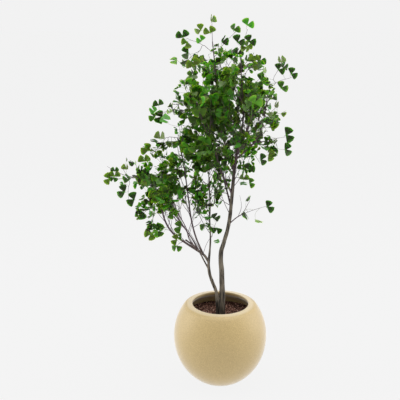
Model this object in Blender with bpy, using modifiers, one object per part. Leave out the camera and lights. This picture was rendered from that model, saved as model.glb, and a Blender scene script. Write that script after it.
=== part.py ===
# Ginkgo bonsai in a round planter: a two-stemmed tree, its leafy sprays, the soil and the bowl.
# The origin is the centre of the planter's foot, +Z is up and -Y is the front.
import math
import random

import bmesh
import bpy
from mathutils import Matrix, Vector
from mathutils.bvhtree import BVHTree

MM = 0.001
WELD = 0.01 * MM
GAP = 0.35 * MM
DRAW = random.Random(11)

# Planter: two half ellipsoids that meet at the widest level, cut flat at the foot and turned in at the lip.
BOWL_RADIUS = 150 * MM
BOWL_WIDEST_Z = 154 * MM
BOWL_RISE = 165 * MM
BOWL_DROP = 168 * MM
BOWL_WALL = 12 * MM
FLOOR_Z = 14 * MM
RIM_Z = 265 * MM
RIM_MOUTH_RADIUS = 91 * MM
RIM_OUTER_Z = 256.5 * MM
RIM_INNER_Z = 243 * MM
BOWL_SIDES = 28
OUTER_LEVELS = (228, 192, 154, 110, 66, 28, 0)
INNER_LEVELS = (60, 130)
# Rounded lip: how far out from the mouth and up from the rim's top its points lie, in millimetres.
LIP = ((2, -8), (0, -4), (3, -0.4), (11, 0), (19, -3.2))

# Soil: a filling that follows the bowl's inside, domed a little, with a plain hole for the tree's foot.
SOIL_EDGE_Z = 217 * MM
SOIL_DOME = 4 * MM
HOLE_TOP_Z = 240 * MM

# Foot of the tree, the buried stub that both stems grow from.
FOOT_CENTRE_X = 1 * MM
FOOT_HALF_WIDTH = 20 * MM
FOOT_HALF_DEPTH = 15 * MM
FOOT_BOTTOM_Z = 158 * MM
FOOT_TOP_Z = 222 * MM
FOOT_SIDES = 12

# Stems: centreline points and radii in millimetres, from the soil up.
STEM_RINGS = 14
TRUNK = (
    (6, 0, 206, 11), (6, 0, 245, 10), (6, 0, 285, 9.4), (4, 0, 363, 8.2), (1, -2, 435, 7.2),
    (10, -3, 472, 6.6), (21, 0, 512, 6), (29, 4, 565, 5.6), (34, 6, 625, 5.2), (39, 6, 690, 4.6),
    (45, 4, 740, 4), (52, 0, 795, 3.3), (63, -6, 850, 2.7), (61, -14, 920, 2.2), (56, -18, 985, 1.8),
    (52, -20, 1045, 1.5),
)
STEM = (
    (-5, -1, 206, 10), (-6, -3, 240, 9), (-10, -6, 278, 6.4), (-15, -8, 311, 5.2), (-25, -8, 337, 5),
    (-34, -6, 364, 4.9), (-38, -5, 392, 4.7), (-37, -5, 415, 4), (-34, -6, 450, 3), (-33, -8, 500, 2.7),
    (-35, -8, 540, 2.5), (-34, -4, 600, 2.2), (-38, 4, 670, 2), (-38, 9, 720, 1.8), (-52, 12, 800, 1.6),
    (-64, 14, 860, 1.4),
)
CURVE_STEPS = 12
# Number of flat sides on a bar that is thicker than so many millimetres in radius.
WOOD_SIDES = ((8, 8), (5, 7), (2.6, 5), (0, 4))
# Limbs: name, what it grows from and how far along, radius at its root and tip, and the points
# that it runs through.
LIMBS = (
    ("left_limb", "stem", 0.31, 4.2, 1.6, ((-52, -10, 430), (-76, -16, 450), (-108, -20, 473),
     (-150, -26, 509), (-175, -30, 556), (-188, -27, 620), (-213, -20, 655), (-250, -14, 680))),
    ("left_riser", "left_limb", 0.09, 2.9, 1.4, ((-77, -10, 486), (-92, 0, 542), (-100, 6, 600),
     (-110, 12, 680), (-118, 12, 730), (-134, 12, 800))),
    ("left_rear", "stem", 0.27, 2.5, 1.4, ((-56, 10, 412), (-82, 22, 460), (-112, 36, 502), (-150, 52, 550),
     (-205, 64, 622))),
    ("left_front", "left_limb", 0.13, 2.0, 1.3, ((-98, -34, 490), (-108, -48, 532), (-150, -64, 612))),
    ("cut_stub", "left_limb", 0.1, 3.0, 2.6, ((-90, -24, 470), (-110, -28, 487))),
    ("leader", "trunk", 0.58, 3.3, 1.5, ((24, 14, 749), (3, 22, 801), (-9, 22, 871), (-16, 16, 945),
     (-22, 9, 1020), (-29, 3, 1085))),
    ("right_limb", "trunk", 0.63, 3.1, 1.5, ((71, -8, 762), (101, -20, 797), (118, -26, 840),
     (127, -28, 886), (133, -26, 935))),
    ("front_limb", "trunk", 0.5, 3.0, 1.5, ((16, -6, 660), (0, -16, 697), (-14, -28, 742), (-30, -42, 790),
     (-51, -54, 840), (-72, -62, 905))),
    ("rear_limb", "trunk", 0.45, 2.8, 1.4, ((20, 18, 625), (8, 34, 668), (-6, 54, 718), (-24, 76, 775),
     (-52, 92, 840), (-84, 100, 885))),
    ("low_twig", "trunk", 0.385, 1.8, 1.3, ((48, -8, 553), (66, -16, 567))),
    ("rear_right", "trunk", 0.66, 2.5, 1.4, ((68, 32, 795), (86, 64, 838), (102, 96, 900))),
    ("front_right", "trunk", 0.64, 2.5, 1.4, ((54, -34, 778), (68, -68, 822), (84, -98, 880))),
    ("right_low", "right_limb", 0.35, 1.8, 1.3, ((124, -16, 793), (146, -8, 798))),
    ("top_rear", "trunk", 0.84, 1.9, 1.3, ((46, 20, 930), (32, 56, 965))),
)

# Sprays: what each grows from and how far along, the points its twigs reach (the second twig forks
# off the first) and the number of leaves on each twig.
SPRAYS = (
    ("leader", 1.0, ((-31, 0, 1142),), 6),
    ("leader", 0.92, ((-104, -10, 1095), (-120, 34, 1010)), 5),
    ("leader", 0.88, ((38, -16, 1114),), 5),
    ("leader", 0.72, ((-40, 86, 1044), (10, 118, 1000)), 5),
    ("leader", 0.64, ((-62, -84, 1036), (6, -56, 972)), 4),
    ("leader", 0.46, ((-100, 60, 942),), 5),
    ("leader", 0.4, ((-18, -66, 930), (-66, -70, 880)), 5),
    ("leader", 0.2, ((30, 94, 850),), 5),
    ("trunk", 1.0, ((72, -6, 1120),), 5),
    ("trunk", 0.95, ((92, 22, 1046),), 5),
    ("trunk", 0.91, ((84, -76, 1030), (14, -94, 992)), 5),
    ("trunk", 0.8, ((82, -116, 950),), 5),
    ("trunk", 0.73, ((20, -80, 872), (70, -72, 858)), 4),
    ("trunk", 0.56, ((94, -26, 676),), 5),
    ("trunk", 0.6, ((4, -94, 775),), 5),
    ("trunk", 0.48, ((-4, -60, 650),), 5),
    ("top_rear", 1.0, ((78, 100, 1000),), 5),
    ("right_limb", 1.0, ((172, -20, 1028), (204, -6, 982)), 4),
    ("right_limb", 0.72, ((148, 48, 930),), 5),
    ("right_limb", 0.62, ((158, -60, 905),), 5),
    ("right_limb", 0.44, ((150, 22, 860),), 5),
    ("right_limb", 0.22, ((114, -46, 732),), 5),
    ("right_low", 1.0, ((190, -10, 806), (166, -30, 752)), 5),
    ("rear_right", 1.0, ((112, 138, 952), (142, 112, 876)), 5),
    ("rear_right", 0.4, ((104, 96, 768),), 5),
    ("front_right", 1.0, ((78, -150, 912), (126, -126, 842)), 5),
    ("front_right", 0.3, ((60, -112, 784),), 5),
    ("front_limb", 1.0, ((-104, -88, 984), (-66, -140, 912)), 5),
    ("front_limb", 0.54, ((-60, -112, 800),), 5),
    ("rear_limb", 1.0, ((-118, 96, 955), (-156, 62, 872)), 5),
    ("rear_limb", 0.64, ((-14, 126, 812),), 5),
    ("rear_limb", 0.4, ((-66, 112, 730),), 5),
    ("stem", 1.0, ((-140, -16, 924), (-188, -46, 884)), 5),
    ("stem", 0.92, ((-134, -50, 816), (-94, -66, 764)), 4),
    ("stem", 0.82, ((-16, -62, 712),), 5),
    ("stem", 0.68, ((-78, 62, 660),), 5),
    ("stem", 0.4, ((-14, -24, 548),), 4),
    ("left_riser", 1.0, ((-180, -4, 800), (-212, 24, 748)), 5),
    ("left_riser", 0.74, ((-130, -80, 724), (-188, -46, 706)), 4),
    ("left_riser", 0.5, ((-64, -64, 610),), 5),
    ("left_limb", 1.0, ((-338, -8, 672), (-282, -40, 615)), 5),
    ("left_limb", 0.85, ((-250, -62, 702),), 5),
    ("left_limb", 0.72, ((-238, -30, 574), (-208, -4, 504)), 5),
    ("left_limb", 0.3, ((-136, -46, 474),), 5),
    ("left_rear", 1.0, ((-268, 80, 682), (-222, 66, 590)), 5),
    ("left_rear", 0.72, ((-172, 112, 655),), 5),
    ("left_front", 1.0, ((-198, -110, 662), (-120, -114, 614)), 5),
    ("low_twig", 1.0, ((142, -12, 592),), 4),
)

# Twig of a spray, in millimetres: it stands on the wood and leans towards its tip in one bend.
TWIG_SIDES = 3
TWIG_SEAT_RADIUS = 1.9
TWIG_TIP_RADIUS = 1.4
TWIG_LIFT = 0.35
TWIG_BEND = 0.45
TWIG_SWAY = 5
TWIG_RINGS = 3
FORK_SHARE = 0.3
FORK_RINGS = 3
TWIG_TRIES = 30
SEAT_STEP = 0.15
SEAT_STRETCH = 0.4
SEAT_ARMS = 12
FOOT_SHARES = (0, 0.25, 0.5, 0.75, 1)
# Room that a twig keeps free of other twigs and leaves.
ROOM_SIDES = 4
ROOM_RADIUS = 3.2
# Stretch of a twig that bears leaves, back from its tip, and the first and last share of its
# length that they take.
LEAFY_LENGTH = 105
FIRST_LEAF = 0.22
LAST_LEAF = 0.97

# Leaf blade, in millimetres: half of its outline from the root round one lobe to the notch.
# The lobes are cupped along the line from their outer corner to the notch.
LEAF_ROOT = (0, 0)
LEAF_CORNER = (18.5, 21.5)
LEAF_LOBE = ((17.5, 32), (6, 38.5))
LEAF_NOTCH = (0, 22.5)
LEAF_CUP = math.radians(17)
LEAF_THICKNESS = 0.8 * MM
FLAT_ANGLE = math.radians(2)
# A leaf's stance: its lean off the twig and roll about its own axis in degrees, and where its face looks.
LEAF_SCALE = (0.84, 1.02)
LEAF_LEAN = (48, 80)
LEAF_ROLL = 50
LEAF_TURN = 0.6
LOOK_OUT = 0.8
LOOK_UP = Vector((0, -0.35, 0.55))
CROWN_CENTRE = Vector((10, 0, 820))
GOLDEN_ANGLE = math.radians(137.5)
# Each leaf is placed with a thicker guard round it that stops short of its root.
LEAF_TRIES = 60
GUARD_THICKNESS = 2.2 * MM
GUARD_ROOT = 0.13


def clear_scene():
    for thing in list(bpy.data.objects):
        bpy.data.objects.remove(thing)


def finish(name, colour, roughness):
    """A plain material."""
    made = bpy.data.materials.new(name)
    made.use_nodes = True
    shader = made.node_tree.nodes["Principled BSDF"]
    shader.inputs["Base Color"].default_value = (*colour, 1)
    shader.inputs["Roughness"].default_value = roughness
    shader.inputs["Metallic"].default_value = 0
    return made


def collection(name):
    made = bpy.data.collections.new(name)
    bpy.context.scene.collection.children.link(made)
    return made


def add_object(name, mesh, where, material=None):
    made = bpy.data.objects.new(name, mesh)
    where.objects.link(made)
    if material:
        mesh.materials.clear()
        mesh.materials.append(material)
    return made


def evaluated_mesh(thing):
    """A plain mesh of the object with its modifiers applied."""
    bpy.context.view_layer.update()
    graph = bpy.context.evaluated_depsgraph_get()
    return bpy.data.meshes.new_from_object(thing.evaluated_get(graph))


def closed(mesh):
    """The mesh with its loose caps welded and its faces pointing out."""
    shape = bmesh.new()
    shape.from_mesh(mesh)
    bmesh.ops.remove_doubles(shape, verts=shape.verts, dist=WELD)
    bmesh.ops.recalc_face_normals(shape, faces=shape.faces)
    shape.to_mesh(mesh)
    shape.free()
    return mesh


def turned(name, profile, where, material):
    """A profile of (radius, height) points turned about Z."""
    mesh = bpy.data.meshes.new(name)
    points = [(radius, 0, height) for radius, height in profile]
    mesh.from_pydata(points, [(n, n + 1) for n in range(len(points) - 1)], [])
    made = add_object(name, mesh, where, material)
    screw = made.modifiers.new("Turn", "SCREW")
    screw.steps = screw.render_steps = BOWL_SIDES
    screw.use_merge_vertices = True
    screw.merge_threshold = WELD
    screw.use_smooth_shade = True
    return made


def bowl_radius(height, wall=0.0):
    """Radius of the bowl's outside, or of its inside with the wall's thickness given."""
    reach = (BOWL_RISE if height > BOWL_WIDEST_Z else BOWL_DROP) - wall
    share = (height - BOWL_WIDEST_Z) / reach
    return (BOWL_RADIUS - wall) * math.sqrt(max(0.0, 1 - share * share))


def inner_wall(gap=0.0):
    """The inside of the bowl from the floor's edge up to the soil's edge, drawn in by a gap."""
    heights = [FLOOR_Z] + [level * MM for level in INNER_LEVELS] + [SOIL_EDGE_Z]
    return [(bowl_radius(height, BOWL_WALL) - gap, height) for height in heights]


def build_planter(where, material):
    profile = [(0, FLOOR_Z)] + inner_wall()
    profile.append((bowl_radius(RIM_INNER_Z, BOWL_WALL), RIM_INNER_Z))
    profile += [(RIM_MOUTH_RADIUS + out * MM, RIM_Z + up * MM) for out, up in LIP]
    profile.append((bowl_radius(RIM_OUTER_Z), RIM_OUTER_Z))
    profile += [(bowl_radius(level * MM), level * MM) for level in OUTER_LEVELS]
    profile.append((0, 0))
    return turned("planter", profile, where, material)


def foot_cylinder(name, grow, low, high, where):
    """The oval stub under the stems, or with grow the hole for it."""
    bpy.ops.mesh.primitive_cylinder_add(
        vertices=FOOT_SIDES, radius=1, depth=1, location=(FOOT_CENTRE_X, 0, (low + high) / 2)
    )
    made = bpy.context.object
    made.name = name
    made.scale = (FOOT_HALF_WIDTH + grow, FOOT_HALF_DEPTH + grow, high - low)
    bpy.ops.object.transform_apply(location=True, rotation=False, scale=True)
    for owner in list(made.users_collection):
        owner.objects.unlink(made)
    where.objects.link(made)
    return made


def build_soil(where, cutters, material):
    wall = inner_wall(GAP)
    edge_radius = wall[-1][0]
    profile = [(share * edge_radius, SOIL_EDGE_Z + SOIL_DOME * (1 - share * share)) for share in (0, 0.5)]
    profile += list(reversed(wall[1:]))
    profile += [(wall[0][0], FLOOR_Z + GAP), (0, FLOOR_Z + GAP)]
    soil = turned("soil", profile, where, material)
    hole = foot_cylinder("foot_hole", GAP, FOOT_BOTTOM_Z - GAP, HOLE_TOP_Z, cutters)
    hole.hide_render = True
    hole.display_type = "WIRE"
    cut = soil.modifiers.new("Foot hole", "BOOLEAN")
    cut.operation = "DIFFERENCE"
    cut.object = hole
    return soil


def smooth(before, start, end, after, t):
    """A value at share t of the way from start to end, on a cubic that also heeds its neighbours."""
    slope = end - before
    bend = 2 * before - 5 * start + 4 * end - after
    twist = 3 * start - before - 3 * end + after
    return start + 0.5 * (slope * t + bend * t ** 2 + twist * t ** 3)


def curve_through(points, count):
    """count points evenly along a smooth line through points, whose extra values are carried along."""
    size = len(points)

    def knot(index):
        return points[max(0, min(size - 1, index))]

    fine = []
    for span in range(size - 1):
        a, b, c, d = (knot(span + k) for k in (-1, 0, 1, 2))
        for step in range(CURVE_STEPS):
            t = step / CURVE_STEPS
            fine.append([smooth(*values, t) for values in zip(a, b, c, d)])
    fine.append(list(points[-1]))
    lengths = [0.0]
    for before, after in zip(fine, fine[1:]):
        lengths.append(lengths[-1] + math.dist(before[:3], after[:3]))
    made = []
    at = 0
    for step in range(count):
        wanted = lengths[-1] * step / (count - 1)
        while at < len(fine) - 2 and lengths[at + 1] < wanted:
            at += 1
        share = (wanted - lengths[at]) / (lengths[at + 1] - lengths[at])
        made.append([p + (q - p) * share for p, q in zip(fine[at], fine[at + 1])])
    return made


def point_along(path, share):
    """The place on a path of (x, y, z, radius) rows, in millimetres, and its direction."""
    at = min(int(share * (len(path) - 1)), len(path) - 2)
    rest = share * (len(path) - 1) - at
    before, after = Vector(path[at][:3]), Vector(path[at + 1][:3])
    return before.lerp(after, rest), (after - before).normalized()


def tube(name, path, sides, where):
    """A bar with a few flat sides along a path of (x, y, z, radius) rows in millimetres."""
    outline = bpy.data.curves.new("outline", "CURVE")
    edge = outline.splines.new("POLY")
    edge.points.add(sides - 1)
    edge.use_cyclic_u = True
    for number, point in enumerate(edge.points):
        turn = math.tau * number / sides
        point.co = (math.cos(turn) * MM, math.sin(turn) * MM, 0, 1)
    section = bpy.data.objects.new("section", outline)
    where.objects.link(section)
    line = bpy.data.curves.new(name, "CURVE")
    line.dimensions = "3D"
    line.bevel_mode = "OBJECT"
    line.bevel_object = section
    line.use_fill_caps = True
    spline = line.splines.new("POLY")
    spline.points.add(len(path) - 1)
    for point, (x, y, z, radius) in zip(spline.points, path):
        point.co = (x * MM, y * MM, z * MM, 1)
        point.radius = radius
    drawn = bpy.data.objects.new(name, line)
    where.objects.link(drawn)
    mesh = closed(evaluated_mesh(drawn))
    for thing in (drawn, section):
        bpy.data.objects.remove(thing)
    return add_object(name, mesh, where)


def fuse(base, extras, solver="EXACT"):
    """Joins every object of a collection to base by one Boolean union, and removes them."""
    join = base.modifiers.new("Fuse", "BOOLEAN")
    join.operation = "UNION"
    join.operand_type = "COLLECTION"
    join.collection = extras
    join.solver = solver
    mesh = evaluated_mesh(base)
    base.modifiers.clear()
    base.data = mesh
    for thing in list(extras.objects):
        bpy.data.objects.remove(thing)


def limb_paths():
    """Every stem and limb as a smooth path of (x, y, z, radius) rows, in millimetres."""
    paths = {"trunk": curve_through(TRUNK, STEM_RINGS), "stem": curve_through(STEM, STEM_RINGS)}
    for name, parent, share, root_radius, tip_radius, points in LIMBS:
        root, _ = point_along(paths[parent], share)
        line = [tuple(root)] + list(points)
        last = len(line) - 1
        rows = [(*p, root_radius + (tip_radius - root_radius) * n / last) for n, p in enumerate(line)]
        paths[name] = curve_through(rows, max(3, len(points) + 1))
    return paths


def build_wood(where, paths, material):
    """The foot, both stems and their limbs, fused into one body."""
    extras = collection("wood pieces")
    foot = foot_cylinder("trunk_and_limbs", 0, FOOT_BOTTOM_Z, FOOT_TOP_Z, where)
    for name, path in paths.items():
        thick = max(row[3] for row in path)
        sides = next(count for least, count in WOOD_SIDES if thick > least)
        tube(name, path, sides, extras)
    fuse(foot, extras)
    foot.data.materials.clear()
    foot.data.materials.append(material)
    bpy.data.collections.remove(extras)
    return foot


def twig_seat(surface, root, heading):
    """The first place from root along heading where a twig's end stands a gap clear of the wood."""
    tree = surface[0]
    side = heading.orthogonal().normalized() * TWIG_SEAT_RADIUS
    arms = [Vector((0, 0, 0))]
    for number in range(SEAT_ARMS):
        turn = Matrix.Rotation(math.tau * number / SEAT_ARMS, 3, heading)
        arms += [turn @ side, turn @ side / 2]
    reach = 0
    while True:
        reach += SEAT_STEP
        centre = root + heading * reach
        for arm in arms:
            place = centre + arm
            nearest, normal, _, distance = tree.find_nearest(place * MM)
            if distance < GAP or (place * MM - nearest).dot(normal) < 0:
                break
        else:
            return centre


def settle(twig, seat, surface):
    """Moves the three corners of a twig's foot straight at the wood until the foot is a gap off it."""
    tree = surface[0]
    nearest, _, _, _ = tree.find_nearest(seat * MM)
    step = (nearest - seat * MM).normalized() * SEAT_STEP * MM
    foot = [v for v in twig.data.vertices if (v.co - seat * MM).length < 2 * TWIG_SEAT_RADIUS * MM]

    def room():
        a, b, c = (corner.co for corner in foot)
        places = [a.lerp(b, s).lerp(c, t) for s in FOOT_SHARES for t in FOOT_SHARES]
        return min(tree.find_nearest(place)[3] for place in places)

    while room() > GAP + SEAT_STEP * MM:
        for corner in foot:
            corner.co += step


def twig_path(seat, heading, tip, sway, rings):
    """A twig from its seat to its tip in one bend, as (x, y, z, radius) rows in millimetres."""
    bend = seat + heading * (TWIG_BEND * (tip - seat).length) + sway
    rows = []
    for ring in range(rings):
        t = ring / (rings - 1)
        place = (1 - t) ** 2 * seat + 2 * t * (1 - t) * bend + t * t * tip
        rows.append((*place, TWIG_SEAT_RADIUS + (TWIG_TIP_RADIUS - TWIG_SEAT_RADIUS) * t))
    return rows


def room_round(path, start, scrap):
    """The space a twig needs round it from a share of its first stretch on, as a surface."""
    first = Vector(path[0][:3]).lerp(Vector(path[1][:3]), start)
    line = [(*first, ROOM_RADIUS)] + [(*row[:3], ROOM_RADIUS) for row in path[1:]]
    fat = tube("room", line, ROOM_SIDES, scrap)
    surface = surface_of(fat.data)
    bpy.data.objects.remove(fat)
    return surface


def clear_twig(seat, heading, tip, rings, trunk, rooms, scrap):
    """A twig that bends clear of the wood and of the other twigs' rooms, and its own room."""
    for attempt in range(TWIG_TRIES):
        sway = Vector(DRAW.uniform(-1, 1) for _ in range(3)) * TWIG_SWAY * attempt / 2
        path = twig_path(seat, heading, tip, sway, rings)
        room = room_round(path, 0, scrap)
        if not touches(room, rooms) and not touches(room_round(path, SEAT_STRETCH, scrap), [trunk]):
            return path, room
    raise ValueError(f"no clear way for the twig to {tuple(tip)}")


def spray_twigs(paths, wood):
    """For each spray, the paths of its twigs and the rooms that they need."""
    scrap = collection("scrap")
    trunk = surface_of(wood.data)
    made = []
    rooms = []
    for parent, share, tips, _ in SPRAYS:
        root, along = point_along(paths[parent], share)
        tip = Vector(tips[0])
        heading = ((tip - root).normalized() + TWIG_LIFT * along).normalized()
        seat = twig_seat(trunk, root, heading)
        path, room = clear_twig(seat, heading, tip, TWIG_RINGS, trunk, rooms, scrap)
        twigs, own = [path], [room]
        for fork_tip in tips[1:]:
            fork, along = point_along(path, FORK_SHARE)
            tip = Vector(fork_tip)
            heading = ((tip - fork).normalized() + TWIG_LIFT * along).normalized()
            side, room = clear_twig(fork, heading, tip, FORK_RINGS, trunk, rooms, scrap)
            twigs.append(side)
            own.append(room)
        made.append((twigs, own))
        rooms += own
    bpy.data.collections.remove(scrap)
    return made


def leaf_blade(thickness, root_cut=0.0):
    """A two-lobed fan blade from its root at the origin to +Y; root_cut is the share left out there."""
    mesh = bpy.data.meshes.new("leaf")
    corner, notch = Vector((*LEAF_CORNER, 0)), Vector((*LEAF_NOTCH, 0))
    cup = Matrix.Rotation(LEAF_CUP, 4, corner - notch)
    lobe = [notch + cup @ (Vector((*point, 0)) - notch) for point in LEAF_LOBE]
    points = [corner, *lobe, notch]
    root = [Vector((*LEAF_ROOT, 0))]
    if root_cut:
        root = [notch * root_cut, corner * root_cut]
    faces = [(0, 1, 2, 3), (3, *range(4, 4 + len(root)), 0)]
    mesh.from_pydata([point * MM for point in points + root], [], faces)
    made = add_object("leaf", mesh, bpy.context.scene.collection)
    mirror = made.modifiers.new("Other lobe", "MIRROR")
    mirror.use_axis = (True, False, False)
    mirror.merge_threshold = WELD
    flat = made.modifiers.new("One flat root", "DECIMATE")
    flat.decimate_type = "DISSOLVE"
    flat.angle_limit = FLAT_ANGLE
    wall = made.modifiers.new("Blade", "SOLIDIFY")
    wall.thickness = thickness
    wall.offset = 0
    wall.use_even_offset = True
    blade = closed(evaluated_mesh(made))
    bpy.data.objects.remove(made)
    return blade


def surface_of(mesh, matrix=Matrix.Identity(4)):
    """A mesh as a search tree of its faces and its lowest and highest corners."""
    points = [matrix @ vertex.co for vertex in mesh.vertices]
    low = Vector(min(p[k] for p in points) for k in range(3))
    high = Vector(max(p[k] for p in points) for k in range(3))
    return BVHTree.FromPolygons(points, [tuple(f.vertices) for f in mesh.polygons]), low, high


def touches(surface, others):
    tree, low, high = surface
    return any(
        all(low[k] <= other_high[k] and high[k] >= other_low[k] for k in range(3)) and tree.overlap(other)
        for other, other_low, other_high in others
    )


def leaf_place(root, along, angle):
    """Where a leaf stands: rooted on the twig, turned round it by an angle, facing up and outwards."""
    side = along.orthogonal().normalized()
    side.rotate(Matrix.Rotation(angle, 3, along))
    lean = math.radians(DRAW.uniform(*LEAF_LEAN))
    out = (along * math.cos(lean) + side * math.sin(lean)).normalized()
    facing = (root - CROWN_CENTRE).normalized() * LOOK_OUT + LOOK_UP
    facing = (facing - facing.dot(out) * out).normalized()
    facing.rotate(Matrix.Rotation(math.radians(DRAW.uniform(-LEAF_ROLL, LEAF_ROLL)), 3, out))
    turn = Matrix((out.cross(facing), out, facing)).transposed().to_4x4()
    return Matrix.Translation(root * MM) @ turn @ Matrix.Scale(DRAW.uniform(*LEAF_SCALE), 4)


def leaf_roots(path, wanted):
    """Where leaves stand along the outer stretch of a twig: each root and the twig's direction there."""
    length = sum(math.dist(a[:3], b[:3]) for a, b in zip(path, path[1:]))
    first = max(FIRST_LEAF, 1 - LEAFY_LENGTH / length)
    return [point_along(path, first + (LAST_LEAF - first) * n / (wanted - 1)) for n in range(wanted)]


def build_spray(name, twigs, wanted, trunk, rooms, leaves, blade, guard, where):
    """One body of a spray's twigs and their leaves, each leaf clear of all that stands before it."""
    spray = tube(name, twigs[0], TWIG_SIDES, where)
    settle(spray, Vector(twigs[0][0][:3]), trunk)
    extras = collection("leaves")
    own = [surface_of(spray.data)]
    for path in twigs[1:]:
        own.append(surface_of(tube("fork", path, TWIG_SIDES, extras).data))
    for path in twigs:
        for number, (root, along) in enumerate(leaf_roots(path, wanted)):
            for attempt in range(LEAF_TRIES):
                turn = number * GOLDEN_ANGLE + attempt * DRAW.uniform(-LEAF_TURN, LEAF_TURN)
                place = leaf_place(root, along, turn)
                shape = surface_of(guard, place)
                if not touches(shape, [trunk] + rooms + own + leaves):
                    mesh = blade.copy()
                    mesh.transform(place)
                    add_object("leaf", mesh, extras)
                    leaves.append(shape)
                    break
    fuse(spray, extras, "MANIFOLD")
    bpy.data.collections.remove(extras)
    return spray


def build_sprays(where, wood, twigs, material):
    """Every spray, by its number."""
    blade = leaf_blade(LEAF_THICKNESS)
    guard = leaf_blade(GUARD_THICKNESS, GUARD_ROOT)
    trunk = surface_of(wood.data)
    leaves = []
    for number, ((paths, _), (_, _, _, wanted)) in enumerate(zip(twigs, SPRAYS)):
        rooms = [room for other, (_, own) in enumerate(twigs) if other != number for room in own]
        name = f"spray_{number + 1:02d}"
        spray = build_spray(name, paths, wanted, trunk, rooms, leaves, blade, guard, where)
        spray.data.materials.clear()
        spray.data.materials.append(material)
    print(f"{len(twigs)} sprays with {len(leaves)} leaves")


def main():
    clear_scene()
    bonsai = collection("ginkgo bonsai")
    cutters = collection("cutters")
    clay = finish("sand stone", (0.56, 0.43, 0.23), 0.75)
    earth = finish("red brown grit", (0.075, 0.035, 0.022), 0.95)
    bark = finish("grey brown bark", (0.115, 0.085, 0.062), 0.85)
    green = finish("leaf green", (0.045, 0.14, 0.02), 0.5)
    build_planter(bonsai, clay)
    build_soil(bonsai, cutters, earth)
    paths = limb_paths()
    wood = build_wood(bonsai, paths, bark)
    build_sprays(bonsai, wood, spray_twigs(paths, wood), green)


main()
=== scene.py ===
# %% [markdown]
# # A ginkgo in a round stone planter
# The tree stands on two stems in a bowl of red-brown grit, and each of its twigs carries a fan of
# two-lobed leaves. A rough version of every piece is already there, at its real size. This lesson
# makes the fine one round it: the bowl, the grit, the bark, the twigs and some fourteen hundred leaves.

# %% Load the rough model
import math
import random

import bmesh
import bpy
import numpy as np
from mathutils import Matrix, Vector, noise
from mathutils.bvhtree import BVHTree
from mathutils.geometry import interpolate_bezier


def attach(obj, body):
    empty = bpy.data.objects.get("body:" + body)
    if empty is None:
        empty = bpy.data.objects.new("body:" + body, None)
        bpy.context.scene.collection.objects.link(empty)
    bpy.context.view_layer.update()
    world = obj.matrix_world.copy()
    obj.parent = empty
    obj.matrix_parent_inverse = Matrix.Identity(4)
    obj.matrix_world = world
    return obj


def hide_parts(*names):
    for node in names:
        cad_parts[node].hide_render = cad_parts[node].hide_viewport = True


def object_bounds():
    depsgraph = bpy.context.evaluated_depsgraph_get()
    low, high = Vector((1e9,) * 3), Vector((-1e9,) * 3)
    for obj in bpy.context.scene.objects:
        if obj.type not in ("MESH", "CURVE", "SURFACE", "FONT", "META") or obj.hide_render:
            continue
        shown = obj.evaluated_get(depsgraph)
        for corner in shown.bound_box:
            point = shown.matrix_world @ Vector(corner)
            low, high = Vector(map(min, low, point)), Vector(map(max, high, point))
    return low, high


MM = 0.001
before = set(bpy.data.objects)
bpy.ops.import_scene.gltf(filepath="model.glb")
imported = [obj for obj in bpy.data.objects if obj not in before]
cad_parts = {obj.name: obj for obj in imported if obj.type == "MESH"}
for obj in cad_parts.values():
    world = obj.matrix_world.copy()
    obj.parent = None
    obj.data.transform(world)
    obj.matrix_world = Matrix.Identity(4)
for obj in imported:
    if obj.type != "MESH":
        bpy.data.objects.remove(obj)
cad_low, cad_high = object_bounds()
sprays = sorted(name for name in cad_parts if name.startswith("spray"))
print("rough pieces:", len(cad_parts), "of which sprays:", len(sprays))

# %% [markdown]
# The photograph looks a little down on the tree from about two metres. A camera can be set by eye,
# but here its place was worked out from the planter, whose round mouth shows how steeply it is seen.

# %% Camera
CAMERA_PLACE = (-0.06534, -2.08791, 1.17323)
CAMERA_DOWN = math.radians(15.1666)
CAMERA_LENS = 63

bpy.ops.object.camera_add(location=CAMERA_PLACE, rotation=(math.pi / 2 - CAMERA_DOWN, 0, 0))
camera = bpy.context.object
camera.data.lens = CAMERA_LENS
bpy.context.scene.camera = camera
bpy.context.scene.view_settings.view_transform = "Standard"
print("camera at", CAMERA_PLACE)

# %% [markdown]
# The outer leaves and the crown's edge were set by where they are seen in the photograph. Two small
# calls turn a place into a column and row of the picture, and back again once its depth is known.

# %% Places in the picture
CROWN_CENTRE = Vector((10, 0, 820)) * MM
PICTURE_SIZE = 400
PICTURE_MIDDLE = Vector((PICTURE_SIZE, PICTURE_SIZE)) / 2
SENSOR_WIDTH = 36
PICTURE_FOCUS = PICTURE_SIZE * CAMERA_LENS / SENSOR_WIDTH
camera_turn = camera.rotation_euler.to_matrix()
RIGHT, ABOVE, TOWARDS = camera_turn.col[0], camera_turn.col[1], camera_turn.col[2]


def pixel_of(place):
    """Column and row of the picture where a place is seen."""
    seen_at = camera_turn.transposed() @ (Vector(place) - Vector(CAMERA_PLACE))
    return PICTURE_MIDDLE + Vector((seen_at.x, -seen_at.y)) * PICTURE_FOCUS / -seen_at.z


def place_of(column, row, depth):
    """The place that is seen at a pixel, at a depth along Y."""
    across, up = Vector((column, -row)) - Vector((PICTURE_MIDDLE.x, -PICTURE_MIDDLE.y))
    ray = camera_turn @ Vector((across, up, -PICTURE_FOCUS))
    return Vector(CAMERA_PLACE) + ray * ((depth - CAMERA_PLACE[1]) / ray.y)


print("middle of the crown in the picture:", pixel_of(CROWN_CENTRE))

# %% [markdown]
# Finishes and the sky are both small graphs of nodes. This helper empties one and gives back two
# calls: the first adds a node and sets its sockets, the second wires one node to the next.

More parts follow.
